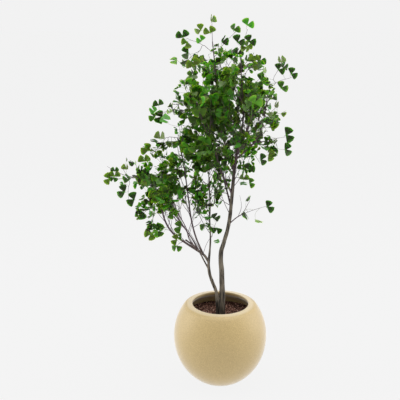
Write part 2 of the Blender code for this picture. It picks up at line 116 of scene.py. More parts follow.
# %% Helper for node graphs
def new_finish(thing):
    """Empties the node graph of a material or a world; returns calls that add and wire nodes."""
    thing.use_nodes = True
    graph = thing.node_tree
    graph.nodes.clear()

    def add(kind, sockets=None, **settings):
        node = graph.nodes.new("ShaderNode" + kind)
        for name, value in settings.items():
            setattr(node, name, value)
        for name, value in (sockets or {}).items():
            node.inputs[name].default_value = value
        return node

    def wire(source, output, target, socket):
        graph.links.new(source.outputs[output], target.inputs[socket])

    return add, wire


def grey(value):
    """A grey as a socket takes it."""
    return (value, value, value, 1)


# %% [markdown]
# The tree stands in a white studio: a wide pale floor that runs out into a pale sky of the same
# tone, so no horizon shows. A floor that glows keeps the shadow under the bowl faint. Two tall soft
# lights, left and right, leave the front of the bowl a shade darker than its sides, and a wide one
# above lights the grit and the upper leaves. Floor and sky are dimmer in reflections than to the
# eye, because their full white would hide the green of the glossy leaves.

# %% Studio
# How bright sky and floor are for what the camera sees, in reflections and for the light they give.
SKY_STRENGTH = (0.888, 0.45, 0.64)
FLOOR_STRENGTH = (0.873, 0.40, 1.25)
FLOOR_SIZE = 80
FLOOR_BOUNCE = 0.02


def shine_by_ray(add, wire, target, socket, strengths):
    """Sets a strength for what the camera sees, one for reflections and one for diffuse light."""
    rays = add("LightPath")
    total = None
    for kind, strength in zip(("Is Camera Ray", "Is Glossy Ray", "Is Diffuse Ray"), strengths):
        part = add("Math", {1: strength, 2: 0.0}, operation="MULTIPLY_ADD")
        wire(rays, kind, part, 0)
        if total:
            wire(total, 0, part, 2)
        total = part
    wire(total, 0, target, socket)


sky = bpy.data.worlds.new("pale studio")
bpy.context.scene.world = sky
add, wire = new_finish(sky)
shed = add("Background", {"Color": grey(1)})
shine_by_ray(add, wire, shed, "Strength", SKY_STRENGTH)
wire(shed, 0, add("OutputWorld"), 0)

bpy.ops.object.select_all(action="DESELECT")
bpy.ops.mesh.primitive_plane_add(size=FLOOR_SIZE)
floor = bpy.context.object
floor.name = "floor"
pale = bpy.data.materials.new("pale floor")
add, wire = new_finish(pale)
paint = add("BsdfPrincipled", {
    "Base Color": grey(FLOOR_BOUNCE), "Roughness": 0.9, "Specular IOR Level": 0, "Emission Color": grey(1),
})
shine_by_ray(add, wire, paint, "Emission Strength", FLOOR_STRENGTH)
wire(paint, 0, add("OutputMaterial"), 0)
floor.data.materials.append(pale)

# Name, place, width, height and power in watts of each soft light; all of them face the tree.
LIGHTS = (
    ("left_window", (-2.5, 0.3, 0.85), 1.8, 3.0, 36),
    ("right_window", (2.5, 0.3, 0.85), 1.8, 3.0, 36),
    ("ceiling", (0.0, 0.1, 3.2), 3.6, 3.2, 96),
)
LIGHT_AIM = Vector((0, 0, 0.6))
for name, place, width, height, power in LIGHTS:
    turn = (LIGHT_AIM - Vector(place)).to_track_quat("-Z", "Y").to_euler()
    bpy.ops.object.light_add(type="AREA", location=place, rotation=turn)
    lamp = bpy.context.object
    lamp.name = name
    lamp.data.shape = "RECTANGLE"
    lamp.data.size = width
    lamp.data.size_y = height
    lamp.data.energy = power
print("lights:", [row[0] for row in LIGHTS])

# %% [markdown]
# Most steps below model one object at a time. These helpers make an object the only one selected,
# apply a modifier to it, and tell the frame what a finished piece is.

# %% Helpers for modelling
def alone(piece):
    """Makes a piece the only selected object."""
    bpy.ops.object.select_all(action="DESELECT")
    piece.select_set(True)
    bpy.context.view_layer.objects.active = piece


def modify(piece, kind, **values):
    """Adds a modifier with the given settings and applies it."""
    alone(piece)
    made = piece.modifiers.new(kind.title(), kind)
    for name, value in values.items():
        setattr(made, name, value)
    bpy.ops.object.modifier_apply(modifier=made.name)


def join(pieces, name):
    """Joins objects into the first of them."""
    alone(pieces[0])
    for piece in pieces:
        piece.select_set(True)
    if len(pieces) > 1:
        bpy.ops.object.join()
    pieces[0].name = name
    return pieces[0]


def smooth(piece, degrees):
    """Shades a piece smooth, apart from edges sharper than so many degrees."""
    alone(piece)
    bpy.ops.object.shade_smooth_by_angle(angle=math.radians(degrees))


def enrol(piece, material, slot, *stands_for):
    """Gives a finished piece its material and hides the rough pieces it stands for; slot is not used."""
    piece.data.materials.clear()
    piece.data.materials.append(material)
    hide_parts(*stands_for)
    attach(piece, "root")
    print(piece.name, "has", len(piece.data.polygons), "faces")


# %% [markdown]
# Round pieces are made the way a bowl is thrown: a flat disc is the foot, and its rim is pulled up
# ring by ring, each wider or narrower than the last, up the outside, over the lip and down the
# inside. Spinning a drawn profile gives the same shape; pulling rings shows how the wall grows.

# %% Pulling up a round wall
def pull_rings(name, rings, sides):
    """A closed round piece from (radius, height) rings: a disc, its rings and a last flat face."""
    radius, height = rings[0]
    bpy.ops.object.select_all(action="DESELECT")
    bpy.ops.mesh.primitive_circle_add(vertices=sides, radius=radius, fill_type="NGON")
    piece = bpy.context.object
    piece.name = name
    bpy.ops.object.mode_set(mode="EDIT")
    bpy.ops.mesh.select_mode(type="EDGE")
    bpy.ops.mesh.select_all(action="SELECT")
    bpy.ops.transform.translate(value=(0, 0, height))
    for wide, high in rings[1:]:
        bpy.ops.mesh.extrude_edges_move(TRANSFORM_OT_translate={"value": (0, 0, high - height)})
        grow = wide / radius
        bpy.ops.transform.resize(value=(grow, grow, 1), center_override=(0, 0, high))
        radius, height = wide, high
    bpy.ops.mesh.edge_face_add()
    bpy.ops.mesh.select_all(action="SELECT")
    bpy.ops.mesh.normals_make_consistent(inside=False)
    bpy.ops.object.mode_set(mode="OBJECT")
    return piece


# %% [markdown]
# The planter is cast stone, nearly a ball: two half ellipsoids that meet at the widest level, cut
# flat at the foot and open at the top. Its lip is thick: it rises from the shoulder more and more
# gently, and turns down into the mouth in a small round edge.

# %% Planter
BOWL_RADIUS = 150 * MM
BOWL_WIDEST = 154 * MM
BOWL_RISE = 165 * MM
BOWL_DROP = 168 * MM
BOWL_WALL = 12 * MM
BOWL_FLOOR = 14 * MM
SHOULDER = 250 * MM
UNDER_LIP = 240 * MM
# Radius and height in millimetres of the rings over the lip, from the shoulder to the inside.
LIP = (
    (119.8, 253.2), (117.9, 256.0), (115.6, 258.5), (113.1, 260.6), (110.2, 262.2), (107, 263.2),
    (103, 264.0), (98.5, 264.7), (94, 265.3), (91.3, 265.6), (90.2, 265.2), (89.7, 264.2), (89.5, 262),
    (90.2, 258), (93.5, 253), (104, 246),
)
# A ring this far above the foot keeps the edge round the foot crisp.
FOOT_EDGE = 0.5 * MM
BOWL_SIDES = 120
OUTSIDE_RINGS = 30
INSIDE_RINGS = 16


def bowl_radius(height, wall=0.0):
    """Radius of the bowl's outside at a height, or of its inside with the wall's thickness."""
    reach = (BOWL_RISE if height > BOWL_WIDEST else BOWL_DROP) - wall
    share = (height - BOWL_WIDEST) / reach
    return (BOWL_RADIUS - wall) * math.sqrt(max(0.0, 1 - share * share))


def spread(start, end, count):
    """count + 1 even values from start to end."""
    return [start + (end - start) * n / count for n in range(count + 1)]


rings = [(bowl_radius(0), 0)]
rings += [(bowl_radius(z), z) for z in spread(FOOT_EDGE, SHOULDER, OUTSIDE_RINGS)]
rings += [(wide * MM, high * MM) for wide, high in LIP]
rings += [(bowl_radius(z, BOWL_WALL), z) for z in spread(UNDER_LIP, BOWL_FLOOR, INSIDE_RINGS)]
planter = pull_rings("stone_planter", rings, BOWL_SIDES)
smooth(planter, degrees=40)
print("planter rings:", len(rings))

# %% [markdown]
# Cast stone is a fine sandy material: pale grains and darker ones lie side by side, and larger
# clouds of tone run through the whole casting. One noise gives the grain and also its relief, and a
# coarser one the clouds. The upper face of the lip is painted paler, a painted highlight for the
# light from above, and a dusty sheen pales the stone where it is seen at a low angle, which is
# along the sides of the bowl from wherever one looks.

# %% Sandy stone
def noise_of(add, wire, coords, scale, detail=2.0, stretch=(1, 1, 1)):
    """A noise pattern on a piece, whose cells can be drawn out along an axis."""
    place = add("Mapping", {"Scale": stretch})
    pattern = add("TexNoise", {"Scale": scale, "Detail": detail})
    wire(coords, "Object", place, "Vector")
    wire(place, "Vector", pattern, "Vector")
    return pattern


def ramp_of(add, wire, source, output, stops):
    """A colour ramp from (position, colour) stops, read at a node's output."""
    ramp = add("ValToRGB")
    while len(ramp.color_ramp.elements) < len(stops):
        ramp.color_ramp.elements.new(0.5)
    for stop, (position, colour) in zip(ramp.color_ramp.elements, stops):
        stop.position = position
        stop.color = (*colour, 1) if len(colour) == 3 else colour
    wire(source, output, ramp, "Fac")
    return ramp


# The sockets of a mix that take its two colours, and the output that gives the mixed one.
MIX_FIRST = 6
MIX_SECOND = 7
MIX_RESULT = 2


def colour_of(node):
    """The output of a ramp or a mix that is its colour."""
    return MIX_RESULT if node.type == "MIX" else 0


def mix_of(add, wire, share, first, second):
    """Mixes the colours of two ramps or mixes by the share that a third node gives."""
    mix = add("Mix", data_type="RGBA")
    wire(share, 0, mix, 0)
    wire(first, colour_of(first), mix, MIX_FIRST)
    wire(second, colour_of(second), mix, MIX_SECOND)
    return mix


def shade_of(add, wire, colour, shade):
    """Multiplies a ramp's or a mix's colour by the greys of a ramp."""
    mix = add("Mix", {0: 1.0}, data_type="RGBA", blend_type="MULTIPLY")
    wire(colour, colour_of(colour), mix, MIX_FIRST)
    wire(shade, 0, mix, MIX_SECOND)
    return mix


def finish_of(name, roughness, build, bump=0.0, height=MM, specular=0.3, **extra):
    """A material: build() adds the nodes for its colour and relief and returns both."""
    made = bpy.data.materials.new(name)
    add, wire = new_finish(made)
    sockets = {"Roughness": roughness, "Specular IOR Level": specular}
    sockets.update({label.replace("_", " "): value for label, value in extra.items()})
    shader = add("BsdfPrincipled", sockets)
    colour, relief = build(add, wire, add("TexCoord"))
    wire(colour, colour_of(colour), shader, "Base Color")
    if bump:
        raised = add("Bump", {"Strength": bump, "Distance": height})
        wire(relief, 0, raised, "Height")
        wire(raised, 0, shader, "Normal")
    wire(shader, 0, add("OutputMaterial"), 0)
    return made


GRAIN_SCALE = 520
CLOUD_SCALE = 9
LIGHT_STONE = ((0.35, (0.420, 0.288, 0.098)), (0.65, (0.580, 0.425, 0.165)))
DARK_STONE = ((0.35, (0.410, 0.280, 0.094)), (0.65, (0.565, 0.412, 0.158)))
CLOUDS = ((0.35, (0, 0, 0)), (0.65, (1, 1, 1)))
# The upper face of the lip turns to a paler tone, a painted highlight, between these heights.
LIP_HIGHLIGHT_HEIGHT = (0.2625, 0.2645)
LIP_HIGHLIGHT_STONE = ((0.35, (0.544, 0.4335, 0.2465)), (0.65, (0.64, 0.51, 0.29)))


def sandy(add, wire, coords):
    """Two clouded tones of sandy grain, and a paler one on the lip that is a painted highlight."""
    grain = noise_of(add, wire, coords, GRAIN_SCALE)
    clouds = noise_of(add, wire, coords, CLOUD_SCALE)
    light = ramp_of(add, wire, grain, 0, LIGHT_STONE)
    dark = ramp_of(add, wire, grain, 0, DARK_STONE)
    share = ramp_of(add, wire, clouds, 0, CLOUDS)
    stone = mix_of(add, wire, share, light, dark)
    axes = add("SeparateXYZ")
    # Painted highlight: the lip's upper face is mixed to a paler stone tone.
    lip_highlight_share = add("MapRange", {"From Min": LIP_HIGHLIGHT_HEIGHT[0], "From Max": LIP_HIGHLIGHT_HEIGHT[1]})
    wire(coords, "Object", axes, 0)
    wire(axes, "Z", lip_highlight_share, 0)
    lip_highlight = ramp_of(add, wire, grain, 0, LIP_HIGHLIGHT_STONE)
    return mix_of(add, wire, lip_highlight_share, stone, lip_highlight), grain


stone = finish_of(
    "sandy cast stone", 0.55, sandy, bump=0.12, height=0.4 * MM, specular=1.0, IOR=1.55,
    Sheen_Weight=0.8, Sheen_Roughness=0.4,
)
enrol(planter, stone, "planter", "planter")

# %% [markdown]
# The soil is a filling of grit that follows the inside of the bowl and is domed a little. Its body
# is pulled up in rings like the bowl, a hair's breadth clear of the wall, and its top is then
# roughened by small ups and downs. Single stones are scattered over it in the next step.

# %% Soil body
SOIL_EDGE = 217 * MM
SOIL_DOME = 4 * MM
SOIL_GAP = 0.4 * MM
SOIL_ROUGH = 1.0 * MM
SOIL_LUMPS = 90
SOIL_SIDES = 90
SIDE_RINGS = 12
TOP_RINGS = 26
TOP_INSET = 4 * MM
GRIT_SCALE = 330
GRIT_TONES = ((0.32, (0.018, 0.009, 0.007)), (0.5, (0.075, 0.034, 0.025)), (0.68, (0.20, 0.10, 0.075)))


def soil_top(radius):
    """Height of the domed soil at a distance from the bowl's middle."""
    share = radius / bowl_radius(SOIL_EDGE, BOWL_WALL)
    return SOIL_EDGE + SOIL_DOME * (1 - share * share)


side_heights = spread(BOWL_FLOOR + SOIL_GAP, SOIL_EDGE, SIDE_RINGS)
rings = [(bowl_radius(z, BOWL_WALL) - SOIL_GAP, z) for z in side_heights]
rings += [(wide, soil_top(wide)) for wide in spread(rings[-1][0] - TOP_INSET, TOP_INSET, TOP_RINGS)]
soil = pull_rings("grit_bed", rings, SOIL_SIDES)
for point in soil.data.vertices:
    if point.co.z > SOIL_EDGE:
        point.co.z += SOIL_ROUGH * noise.noise(point.co * SOIL_LUMPS)
smooth(soil, degrees=60)


def gritty(add, wire, coords):
    """Fine dark grit, for what shows between the stones."""
    grain = noise_of(add, wire, coords, GRIT_SCALE, detail=3)
    return ramp_of(add, wire, grain, 0, GRIT_TONES), grain


enrol(soil, finish_of("dark grit", 0.95, gritty, bump=0.8, height=1.5 * MM, specular=0.1), "soil", "soil")

# %% [markdown]
# What repeats is modelled once and copied. This helper lays many copies of a pattern into one mesh:
# each copy has its place, its own stretch of the stalk, if it has one, and a tone that the material
# reads as an attribute. It is much faster than joining thousands of objects.

# %% Laying copies of a pattern
def read_pattern(piece):
    """The points, faces, corner UVs and faces' upward turn of a modelled pattern."""
    mesh = piece.data
    points = np.array([list(point.co) for point in mesh.vertices])
    faces = [list(face.vertices) for face in mesh.polygons]
    flat = np.zeros(2 * len(mesh.loops))
    if mesh.uv_layers:
        mesh.uv_layers[0].data.foreach_get("uv", flat)
    sides = [face.normal.z for face in mesh.polygons]
    bpy.data.objects.remove(piece)
    return points, faces, flat, sides


def lay_copies(name, jobs):
    """One mesh from (pattern, matrix, tone) jobs, with the attributes tone and side."""
    points, faces, flat, tones, sides = [], [], [], [], []
    count = 0
    for (own_points, own_faces, own_flat, own_sides), matrix, tone in jobs:
        turn = np.array(matrix)
        points.append(own_points @ turn[:3, :3].T + turn[:3, 3])
        faces += [[corner + count for corner in face] for face in own_faces]
        flat.append(own_flat)
        tones += [tone] * len(own_faces)
        sides += own_sides
        count += len(own_points)
    mesh = bpy.data.meshes.new(name)
    mesh.from_pydata(np.concatenate(points), [], faces)
    mesh.uv_layers.new(name="UVMap").data.foreach_set("uv", np.concatenate(flat))
    for label, values in (("tone", tones), ("side", sides)):
        mesh.attributes.new(label, "FLOAT", "FACE").data.foreach_set("value", values)
    piece = bpy.data.objects.new(name, mesh)
    bpy.context.scene.collection.objects.link(piece)
    return piece


# %% [markdown]
# The grit on top is crushed red-brown lava, stones of two to five millimetres. An icosphere of
# twenty faces, squashed and with each corner pushed in or out, already looks like a chip of stone.
# The chips are laid on a sunflower spiral, which spreads them evenly, and then jogged a little.
# Most of them are dark red-brown, and a few are pale.

# %% Grit stones
CHIP_COUNT = 4300
CHIP_RADIUS = (1.2 * MM, 2.5 * MM)
CHIP_JOG = 1.2 * MM
CHIP_LIFT = (-0.2, 0.6)
CHIP_SHAPE = (1.2, 0.95, 0.75)
CHIP_SEEDS = (3, 17, 40)
CHIP_DENTS = 0.35
DENT_SCALE = 1.7
WALL_CLEARANCE = 2.5 * MM
GOLDEN_ANGLE = math.radians(137.5)
LAVA_TONES = (
    (0.0, (0.018, 0.009, 0.006)), (0.4, (0.075, 0.034, 0.024)), (0.75, (0.22, 0.105, 0.075)),
    (1.0, (0.52, 0.32, 0.25)),
)
PORE_SCALE = 900
PORE_SHADES = ((0.3, (0.55, 0.55, 0.55)), (0.7, (1.3, 1.3, 1.3)))
draw = random.Random(5)


def model_chip(seed):
    """A chip of stone, whose dents the seed picks."""
    bpy.ops.object.select_all(action="DESELECT")
    bpy.ops.mesh.primitive_ico_sphere_add(subdivisions=1, radius=1)
    chip = bpy.context.object
    bpy.ops.object.mode_set(mode="EDIT")
    bpy.ops.mesh.select_all(action="SELECT")
    bpy.ops.transform.resize(value=CHIP_SHAPE, center_override=(0, 0, 0))
    bpy.ops.object.mode_set(mode="OBJECT")
    for point in chip.data.vertices:
        point.co *= 1 + CHIP_DENTS * noise.noise(point.co * DENT_SCALE + Vector((seed, 0, 0)))
    return read_pattern(chip)


chips = [model_chip(seed) for seed in CHIP_SEEDS]
edge_radius = bowl_radius(SOIL_EDGE, BOWL_WALL) - WALL_CLEARANCE
jobs = []
for number in range(CHIP_COUNT):
    radius = edge_radius * math.sqrt((number + 0.5) / CHIP_COUNT)
    angle = GOLDEN_ANGLE * number
    size = draw.uniform(*CHIP_RADIUS)
    x = radius * math.cos(angle) + draw.uniform(-CHIP_JOG, CHIP_JOG)
    y = radius * math.sin(angle) + draw.uniform(-CHIP_JOG, CHIP_JOG)
    lift = soil_top(math.hypot(x, y)) + size * draw.uniform(*CHIP_LIFT)
    spin = Matrix.Rotation(draw.uniform(0, math.tau), 4, Vector((draw.random(), draw.random(), 0.5)))
    matrix = Matrix.Translation((x, y, lift)) @ spin @ Matrix.Scale(size, 4)
    jobs.append((chips[number % len(chips)], matrix, draw.random()))
grit = lay_copies("grit_stones", jobs)


def lava(add, wire, coords):
    """A stone's own tone, with darker pores."""
    tone = add("Attribute", attribute_name="tone")
    body = ramp_of(add, wire, tone, "Fac", LAVA_TONES)
    pores = noise_of(add, wire, coords, PORE_SCALE)
    shade = ramp_of(add, wire, pores, 0, PORE_SHADES)
    return shade_of(add, wire, body, shade), pores


enrol(grit, finish_of("crushed lava", 0.9, lava, bump=0.6, height=0.5 * MM, specular=0.15), "soil")

# %% [markdown]
# Stems, limbs and twigs are all round bars along a bent line, each thinner towards its end. A Bezier
# curve with automatic handles gives the bends of grown wood from a few given points, and the
# curve's bevel gives its thickness, scaled at each point. The curve is then made a mesh.

# %% Drawing round wood
WELD = 0.01 * MM
MIDDLE_STEPS = 13


def draw_wood(name, bars, rounding, steps):
    """Round bars through (x, y, z, radius) rows in millimetres, as one mesh, and their middles."""
    bpy.ops.object.select_all(action="DESELECT")
    bpy.ops.curve.primitive_bezier_curve_add()
    wood = bpy.context.object
    wood.name = name
    line = wood.data
    line.bevel_depth = MM
    line.bevel_resolution = rounding
    line.resolution_u = steps
    line.use_fill_caps = True
    middles = []
    for number, rows in enumerate(bars):
        spline = line.splines[0] if number == 0 else line.splines.new("BEZIER")
        spline.bezier_points.add(len(rows) - len(spline.bezier_points))
        for point, (x, y, z, radius) in zip(spline.bezier_points, rows):
            point.handle_left_type = "AUTO"
            point.handle_right_type = "AUTO"
            point.co = Vector((x, y, z)) * MM
            point.radius = radius
        middle = []
        for a, b in zip(spline.bezier_points, spline.bezier_points[1:]):
            middle += interpolate_bezier(a.co, a.handle_right, b.handle_left, b.co, MIDDLE_STEPS)[:-1]
        middles.append(middle + [spline.bezier_points[-1].co.copy()])
    bpy.ops.object.convert(target="MESH")
    bpy.ops.object.mode_set(mode="EDIT")
    bpy.ops.mesh.select_all(action="SELECT")
    bpy.ops.mesh.remove_doubles(threshold=WELD)
    bpy.ops.mesh.normals_make_consistent(inside=False)
    bpy.ops.object.mode_set(mode="OBJECT")
    return wood, middles


def thin_out(points, root, tip):
    """(x, y, z, radius) rows through points in millimetres, from a root's radius to a tip's."""
    last = len(points) - 1
    return [(*place, root + (tip - root) * n / last) for n, place in enumerate(points)]


def along(middle, share):
    """The place at a share of a line's length, in millimetres."""
    lengths = [0.0]
    for a, b in zip(middle, middle[1:]):
        lengths.append(lengths[-1] + (b - a).length)
    wanted = share * lengths[-1]
    at = next((n for n in range(1, len(lengths)) if lengths[n] >= wanted), len(lengths) - 1)
    rest = (wanted - lengths[at - 1]) / (lengths[at] - lengths[at - 1])
    return middle[at - 1].lerp(middle[at], rest) / MM


# %% [markdown]
# The tree has two stems that leave the soil side by side: a stout right one that leads up to the
# crown, and a thinner left one that stands in the cut-off stump of an older stem, seen as a pale
# pointed collar at its foot. The points were set against the photograph. The three bars are
# run together by a voxel remesh, which also gives points enough for the ridges of the bark.

# %% Both stems
# Rows of x, y, z and radius in millimetres, from under the soil up.
TRUNK = (
    (6, 0, 206, 12), (6, 0, 222, 10.8), (6, 0, 245, 10), (6, 0, 285, 9.4), (4, 0, 363, 8.2),
    (1, -2, 435, 7.2), (10, -3, 472, 6.6), (21, 0, 512, 6), (29, 4, 565, 5.8), (34, 6, 625, 5.6),
    (39, 6, 690, 5.2), (45, 4, 740, 4.5), (52, 0, 795, 3.6), (63, -6, 850, 2.7), (61, -14, 920, 2.2),
    (56, -18, 985, 1.8), (52, -20, 1045, 1.5),
)
STEM = (
    (-5, -1, 206, 9), (-6, -3, 240, 7.4), (-10, -6, 278, 6), (-15, -8, 311, 5.2), (-25, -8, 337, 5),
    (-34, -6, 364, 4.9), (-38, -5, 392, 4.7), (-37, -5, 415, 4), (-34, -6, 450, 3), (-33, -8, 500, 2.7),
    (-35, -8, 540, 2.5), (-34, -4, 600, 2.2), (-38, 4, 670, 2), (-38, 9, 720, 1.8), (-52, 12, 800, 1.6),
    (-64, 14, 860, 1.4),
)
COLLAR = (
    (-3, -3, 206, 10.4), (-5, -4, 235, 9.3), (-7.5, -6, 262, 8.2), (-9.5, -7, 280, 6.4),
    (-10.5, -7.5, 289, 2.5),
)
STEM_VOXEL = 1.1 * MM
BARK_RELIEF = 0.55 * MM
RIDGES_ROUND = 260
RIDGES_UP = 28
RIDGE_SHARE = 0.8
LUMP_SCALE = 45
LUMP_SHARE = 0.9

stems, (trunk_line, stem_line, _) = draw_wood("stems", (TRUNK, STEM, COLLAR), rounding=5, steps=8)
modify(stems, "REMESH", mode="VOXEL", voxel_size=STEM_VOXEL)
modify(stems, "SMOOTH", factor=0.5, iterations=4)
lines = {"trunk": trunk_line, "stem": stem_line}
normals = [point.normal.copy() for point in stems.data.vertices]
for point, normal in zip(stems.data.vertices, normals):
    place = point.co
    ridges = noise.noise(Vector((place.x * RIDGES_ROUND, place.y * RIDGES_ROUND, place.z * RIDGES_UP)))
    lumps = noise.noise(place * LUMP_SCALE)
    point.co += normal * BARK_RELIEF * (RIDGE_SHARE * ridges + LUMP_SHARE * lumps)
smooth(stems, degrees=60)
print("stem points:", len(stems.data.vertices))

# %% [markdown]
# Limbs leave the stems one after another and thin out to the twigs. Each grows out of the middle of
# the wood that bears it, and is a third thicker where it leaves it, as grown forks are.

# %% Limbs
# Name, what it grows from and how far along, radius at root and tip, and the points it runs through.
LIMBS = (
    ("left_limb", "stem", 0.31, 4.2, 1.6, ((-52, -10, 430), (-76, -16, 450), (-108, -20, 473),
     (-150, -26, 509), (-175, -30, 556), (-188, -27, 620), (-213, -20, 655), (-250, -14, 680))),
    ("left_riser", "left_limb", 0.09, 2.9, 1.4, ((-77, -10, 486), (-92, 0, 542), (-100, 6, 600),
     (-110, 12, 680), (-118, 12, 730), (-134, 12, 800))),
    ("left_rear", "stem", 0.27, 2.5, 1.4, ((-56, 10, 412), (-82, 22, 460), (-112, 36, 502), (-150, 52, 550),
     (-205, 64, 622))),
    ("left_front", "left_limb", 0.13, 2.0, 1.3, ((-98, -34, 490), (-108, -48, 532), (-150, -64, 612))),
    ("cut_stub", "left_limb", 0.1, 3.0, 2.6, ((-90, -24, 470), (-110, -28, 487))),
    ("leader", "trunk", 0.58, 3.3, 1.5, ((24, 14, 749), (3, 22, 801), (-9, 22, 871), (-16, 16, 945),
     (-22, 9, 1020), (-29, 3, 1085))),
    ("right_limb", "trunk", 0.63, 3.1, 1.5, ((71, -8, 762), (101, -20, 797), (118, -26, 840),
     (127, -28, 886), (133, -26, 935))),
    ("front_limb", "trunk", 0.5, 3.0, 1.5, ((16, -6, 660), (0, -16, 697), (-14, -28, 742), (-30, -42, 790),
     (-51, -54, 840), (-72, -62, 905))),
    ("rear_limb", "trunk", 0.45, 2.8, 1.4, ((20, 18, 625), (8, 34, 668), (-6, 54, 718), (-24, 76, 775),
     (-52, 92, 840), (-84, 100, 885))),
    ("low_twig", "trunk", 0.385, 1.8, 1.3, ((48, -8, 553), (66, -16, 567))),
    ("rear_right", "trunk", 0.66, 2.5, 1.4, ((68, 32, 795), (86, 64, 838), (102, 96, 900))),
    ("front_right", "trunk", 0.64, 2.5, 1.4, ((54, -34, 778), (68, -68, 822), (84, -98, 880))),
    ("right_low", "right_limb", 0.35, 1.8, 1.3, ((124, -16, 793), (146, -8, 798))),
    ("top_rear", "trunk", 0.84, 1.9, 1.3, ((46, 20, 930), (32, 56, 965))),
)
FORK_SWELL = 1.3
FORK_REACH = 9

parts = []
for name, parent, share, root_radius, tip_radius, points in LIMBS:
    root = along(lines[parent], share)
    heading = (Vector(points[0]) - root).normalized()
    rows = [(*root, root_radius * FORK_SWELL), (*(root + heading * FORK_REACH), root_radius)]
    rows += [
        (*point, root_radius + (tip_radius - root_radius) * (n + 1) / len(points))
        for n, point in enumerate(points)
    ]
    part, (lines[name],) = draw_wood(name, (rows,), rounding=2, steps=5)
    parts.append(part)
limbs = join(parts, "limbs")
smooth(limbs, degrees=60)
print("limbs:", len(LIMBS))

# %% [markdown]
# Ginkgo bark is grey-brown and splits into fine upright streaks, paler on their crests; near the
# grit it darkens downwards. Young wood higher up is smoother and purple-brown. The streaks are a
# noise drawn out along the height, and one colour turns into the next with the height as well.

# %% Bark
OLD_STREAKS = ((0.40, (0.027, 0.023, 0.019)), (0.60, (0.195, 0.166, 0.124)))
YOUNG_STREAKS = ((0.3, (0.078, 0.0504, 0.0588)), (0.7, (0.130, 0.084, 0.098)))
STREAK_SCALE = 190
STREAK_STRETCH = (1, 1, 0.13)
# The bark darkens downwards between these heights, to this share of its tone at the lower one.
FOOT_DARK_HEIGHT = (0.215, 0.29)
FOOT_DARK_SHADE = 0.45
BLACK_TO_WHITE = ((0, (0, 0, 0)), (1, (1, 1, 1)))


def bark_of(turn_low, turn_high):
    """A bark whose old streaks give way to young ones between two heights in metres."""

    def build(add, wire, coords):
        streaks = noise_of(add, wire, coords, STREAK_SCALE, detail=4, stretch=STREAK_STRETCH)
        old = ramp_of(add, wire, streaks, 0, OLD_STREAKS)
        fresh = ramp_of(add, wire, streaks, 0, YOUNG_STREAKS)
        axes = add("SeparateXYZ")
        wire(coords, "Object", axes, 0)
        high = add("MapRange", {"From Min": turn_low, "From Max": turn_high})
        wire(axes, "Z", high, 0)
        body = mix_of(add, wire, high, old, fresh)
        foot_dark = add("MapRange", {"From Min": FOOT_DARK_HEIGHT[0], "From Max": FOOT_DARK_HEIGHT[1], "To Min": FOOT_DARK_SHADE})
        wire(axes, "Z", foot_dark, 0)
        shade = ramp_of(add, wire, foot_dark, 0, BLACK_TO_WHITE)
        return shade_of(add, wire, body, shade), streaks

    return build


old_bark = finish_of("grey streaked bark", 0.8, bark_of(0.6, 0.8), bump=0.8, height=1.5 * MM)
young_bark = finish_of("young bark", 0.7, bark_of(0.4, 0.52), bump=0.5, height=0.8 * MM)
enrol(stems, old_bark, "bark", "trunk_and_limbs")
enrol(limbs, young_bark, "bark", "trunk_and_limbs")

# %% [markdown]
# The rough sprays say where each leaf sits. A rough leaf is a plate with seven corners, so seven
# short edges run through its thickness. Walking from one short edge to the next over neighbouring
# faces and fitting the leaf's outline to their middles gives each leaf's root, turn and size.

# %% Finding the rough leaves
ROUGH_OUTLINE = ((18.5, 21.5), (17.5, 32), (6, 38.5), (0, 22.5))
ROUGH_CUP = math.radians(17)
THIN_EDGE = (0.6 * MM, 0.9 * MM)
LEAF_SPAN = (30 * MM, 39 * MM)
LEAF_SIZE = (0.82, 1.04)
FIT_MISS = 0.1 * MM
WELD_ROUGH = 0.001 * MM
# Two fits are the same leaf if their roots are nearer than this and they point as much the same way.
SAME_ROOT = 0.5 * MM
SAME_WAY = 0.99
FOOT_POINTS = 3


def rough_pattern():
    """The seven corners of a rough leaf, in metres from its root."""
    corner = Vector((*ROUGH_OUTLINE[0], 0))
    notch = Vector((*ROUGH_OUTLINE[-1], 0))
    cup = Matrix.Rotation(ROUGH_CUP, 3, corner - notch)
    half = [corner]
    for place in ROUGH_OUTLINE[1:]:
        half.append(notch + cup @ (Vector((*place, 0)) - notch))
    other = [Vector((-place.x, place.y, place.z)) for place in reversed(half[:3])]
    return np.array([list(place) for place in half + other]) * MM


PATTERN = rough_pattern()


def fit_leaf(places):
    """Size, turn and root of the rough leaf whose corners are nearest to seven places, and its miss."""
    middle, target = PATTERN.mean(0), places.mean(0)
    from_middle, to_target = PATTERN - middle, places - target
    left, weights, right = np.linalg.svd(from_middle.T @ to_target)
    flip = [1, 1, np.sign(np.linalg.det(right.T @ left.T))]
    turn = right.T @ np.diag(flip) @ left.T
    size = (weights * flip).sum() / (from_middle ** 2).sum()
    root = target - size * turn @ middle
    miss = np.linalg.norm((size * turn @ PATTERN.T).T + root - places, axis=1).max()
    return size, turn, root, miss


def walk(links, chain):
    """Every run of seven linked edges that starts with the given chain."""
    if len(chain) == len(PATTERN):
        yield chain
        return
    for step in links[chain[-1]]:
        if step not in chain:
            yield from walk(links, chain + [step])


def middle_of(edge):
    """What edges are sorted by: their middle, doubled."""
    return tuple(edge.verts[0].co + edge.verts[1].co)


def link_thin_edges(shape):
    """The thin edges of a mesh, each with those that lie in a neighbouring face."""
    thin = {edge for edge in shape.edges if THIN_EDGE[0] < edge.calc_length() < THIN_EDGE[1]}
    links = {edge: set() for edge in thin}
    for edge in thin:
        for face in edge.link_faces:
            for bridge in face.edges:
                for beyond in bridge.link_faces:
                    links[edge].update(other for other in beyond.edges if other in thin)
        apart = [other for other in links[edge] if not set(other.verts) & set(edge.verts)]
        links[edge] = sorted(apart, key=middle_of)
    return links


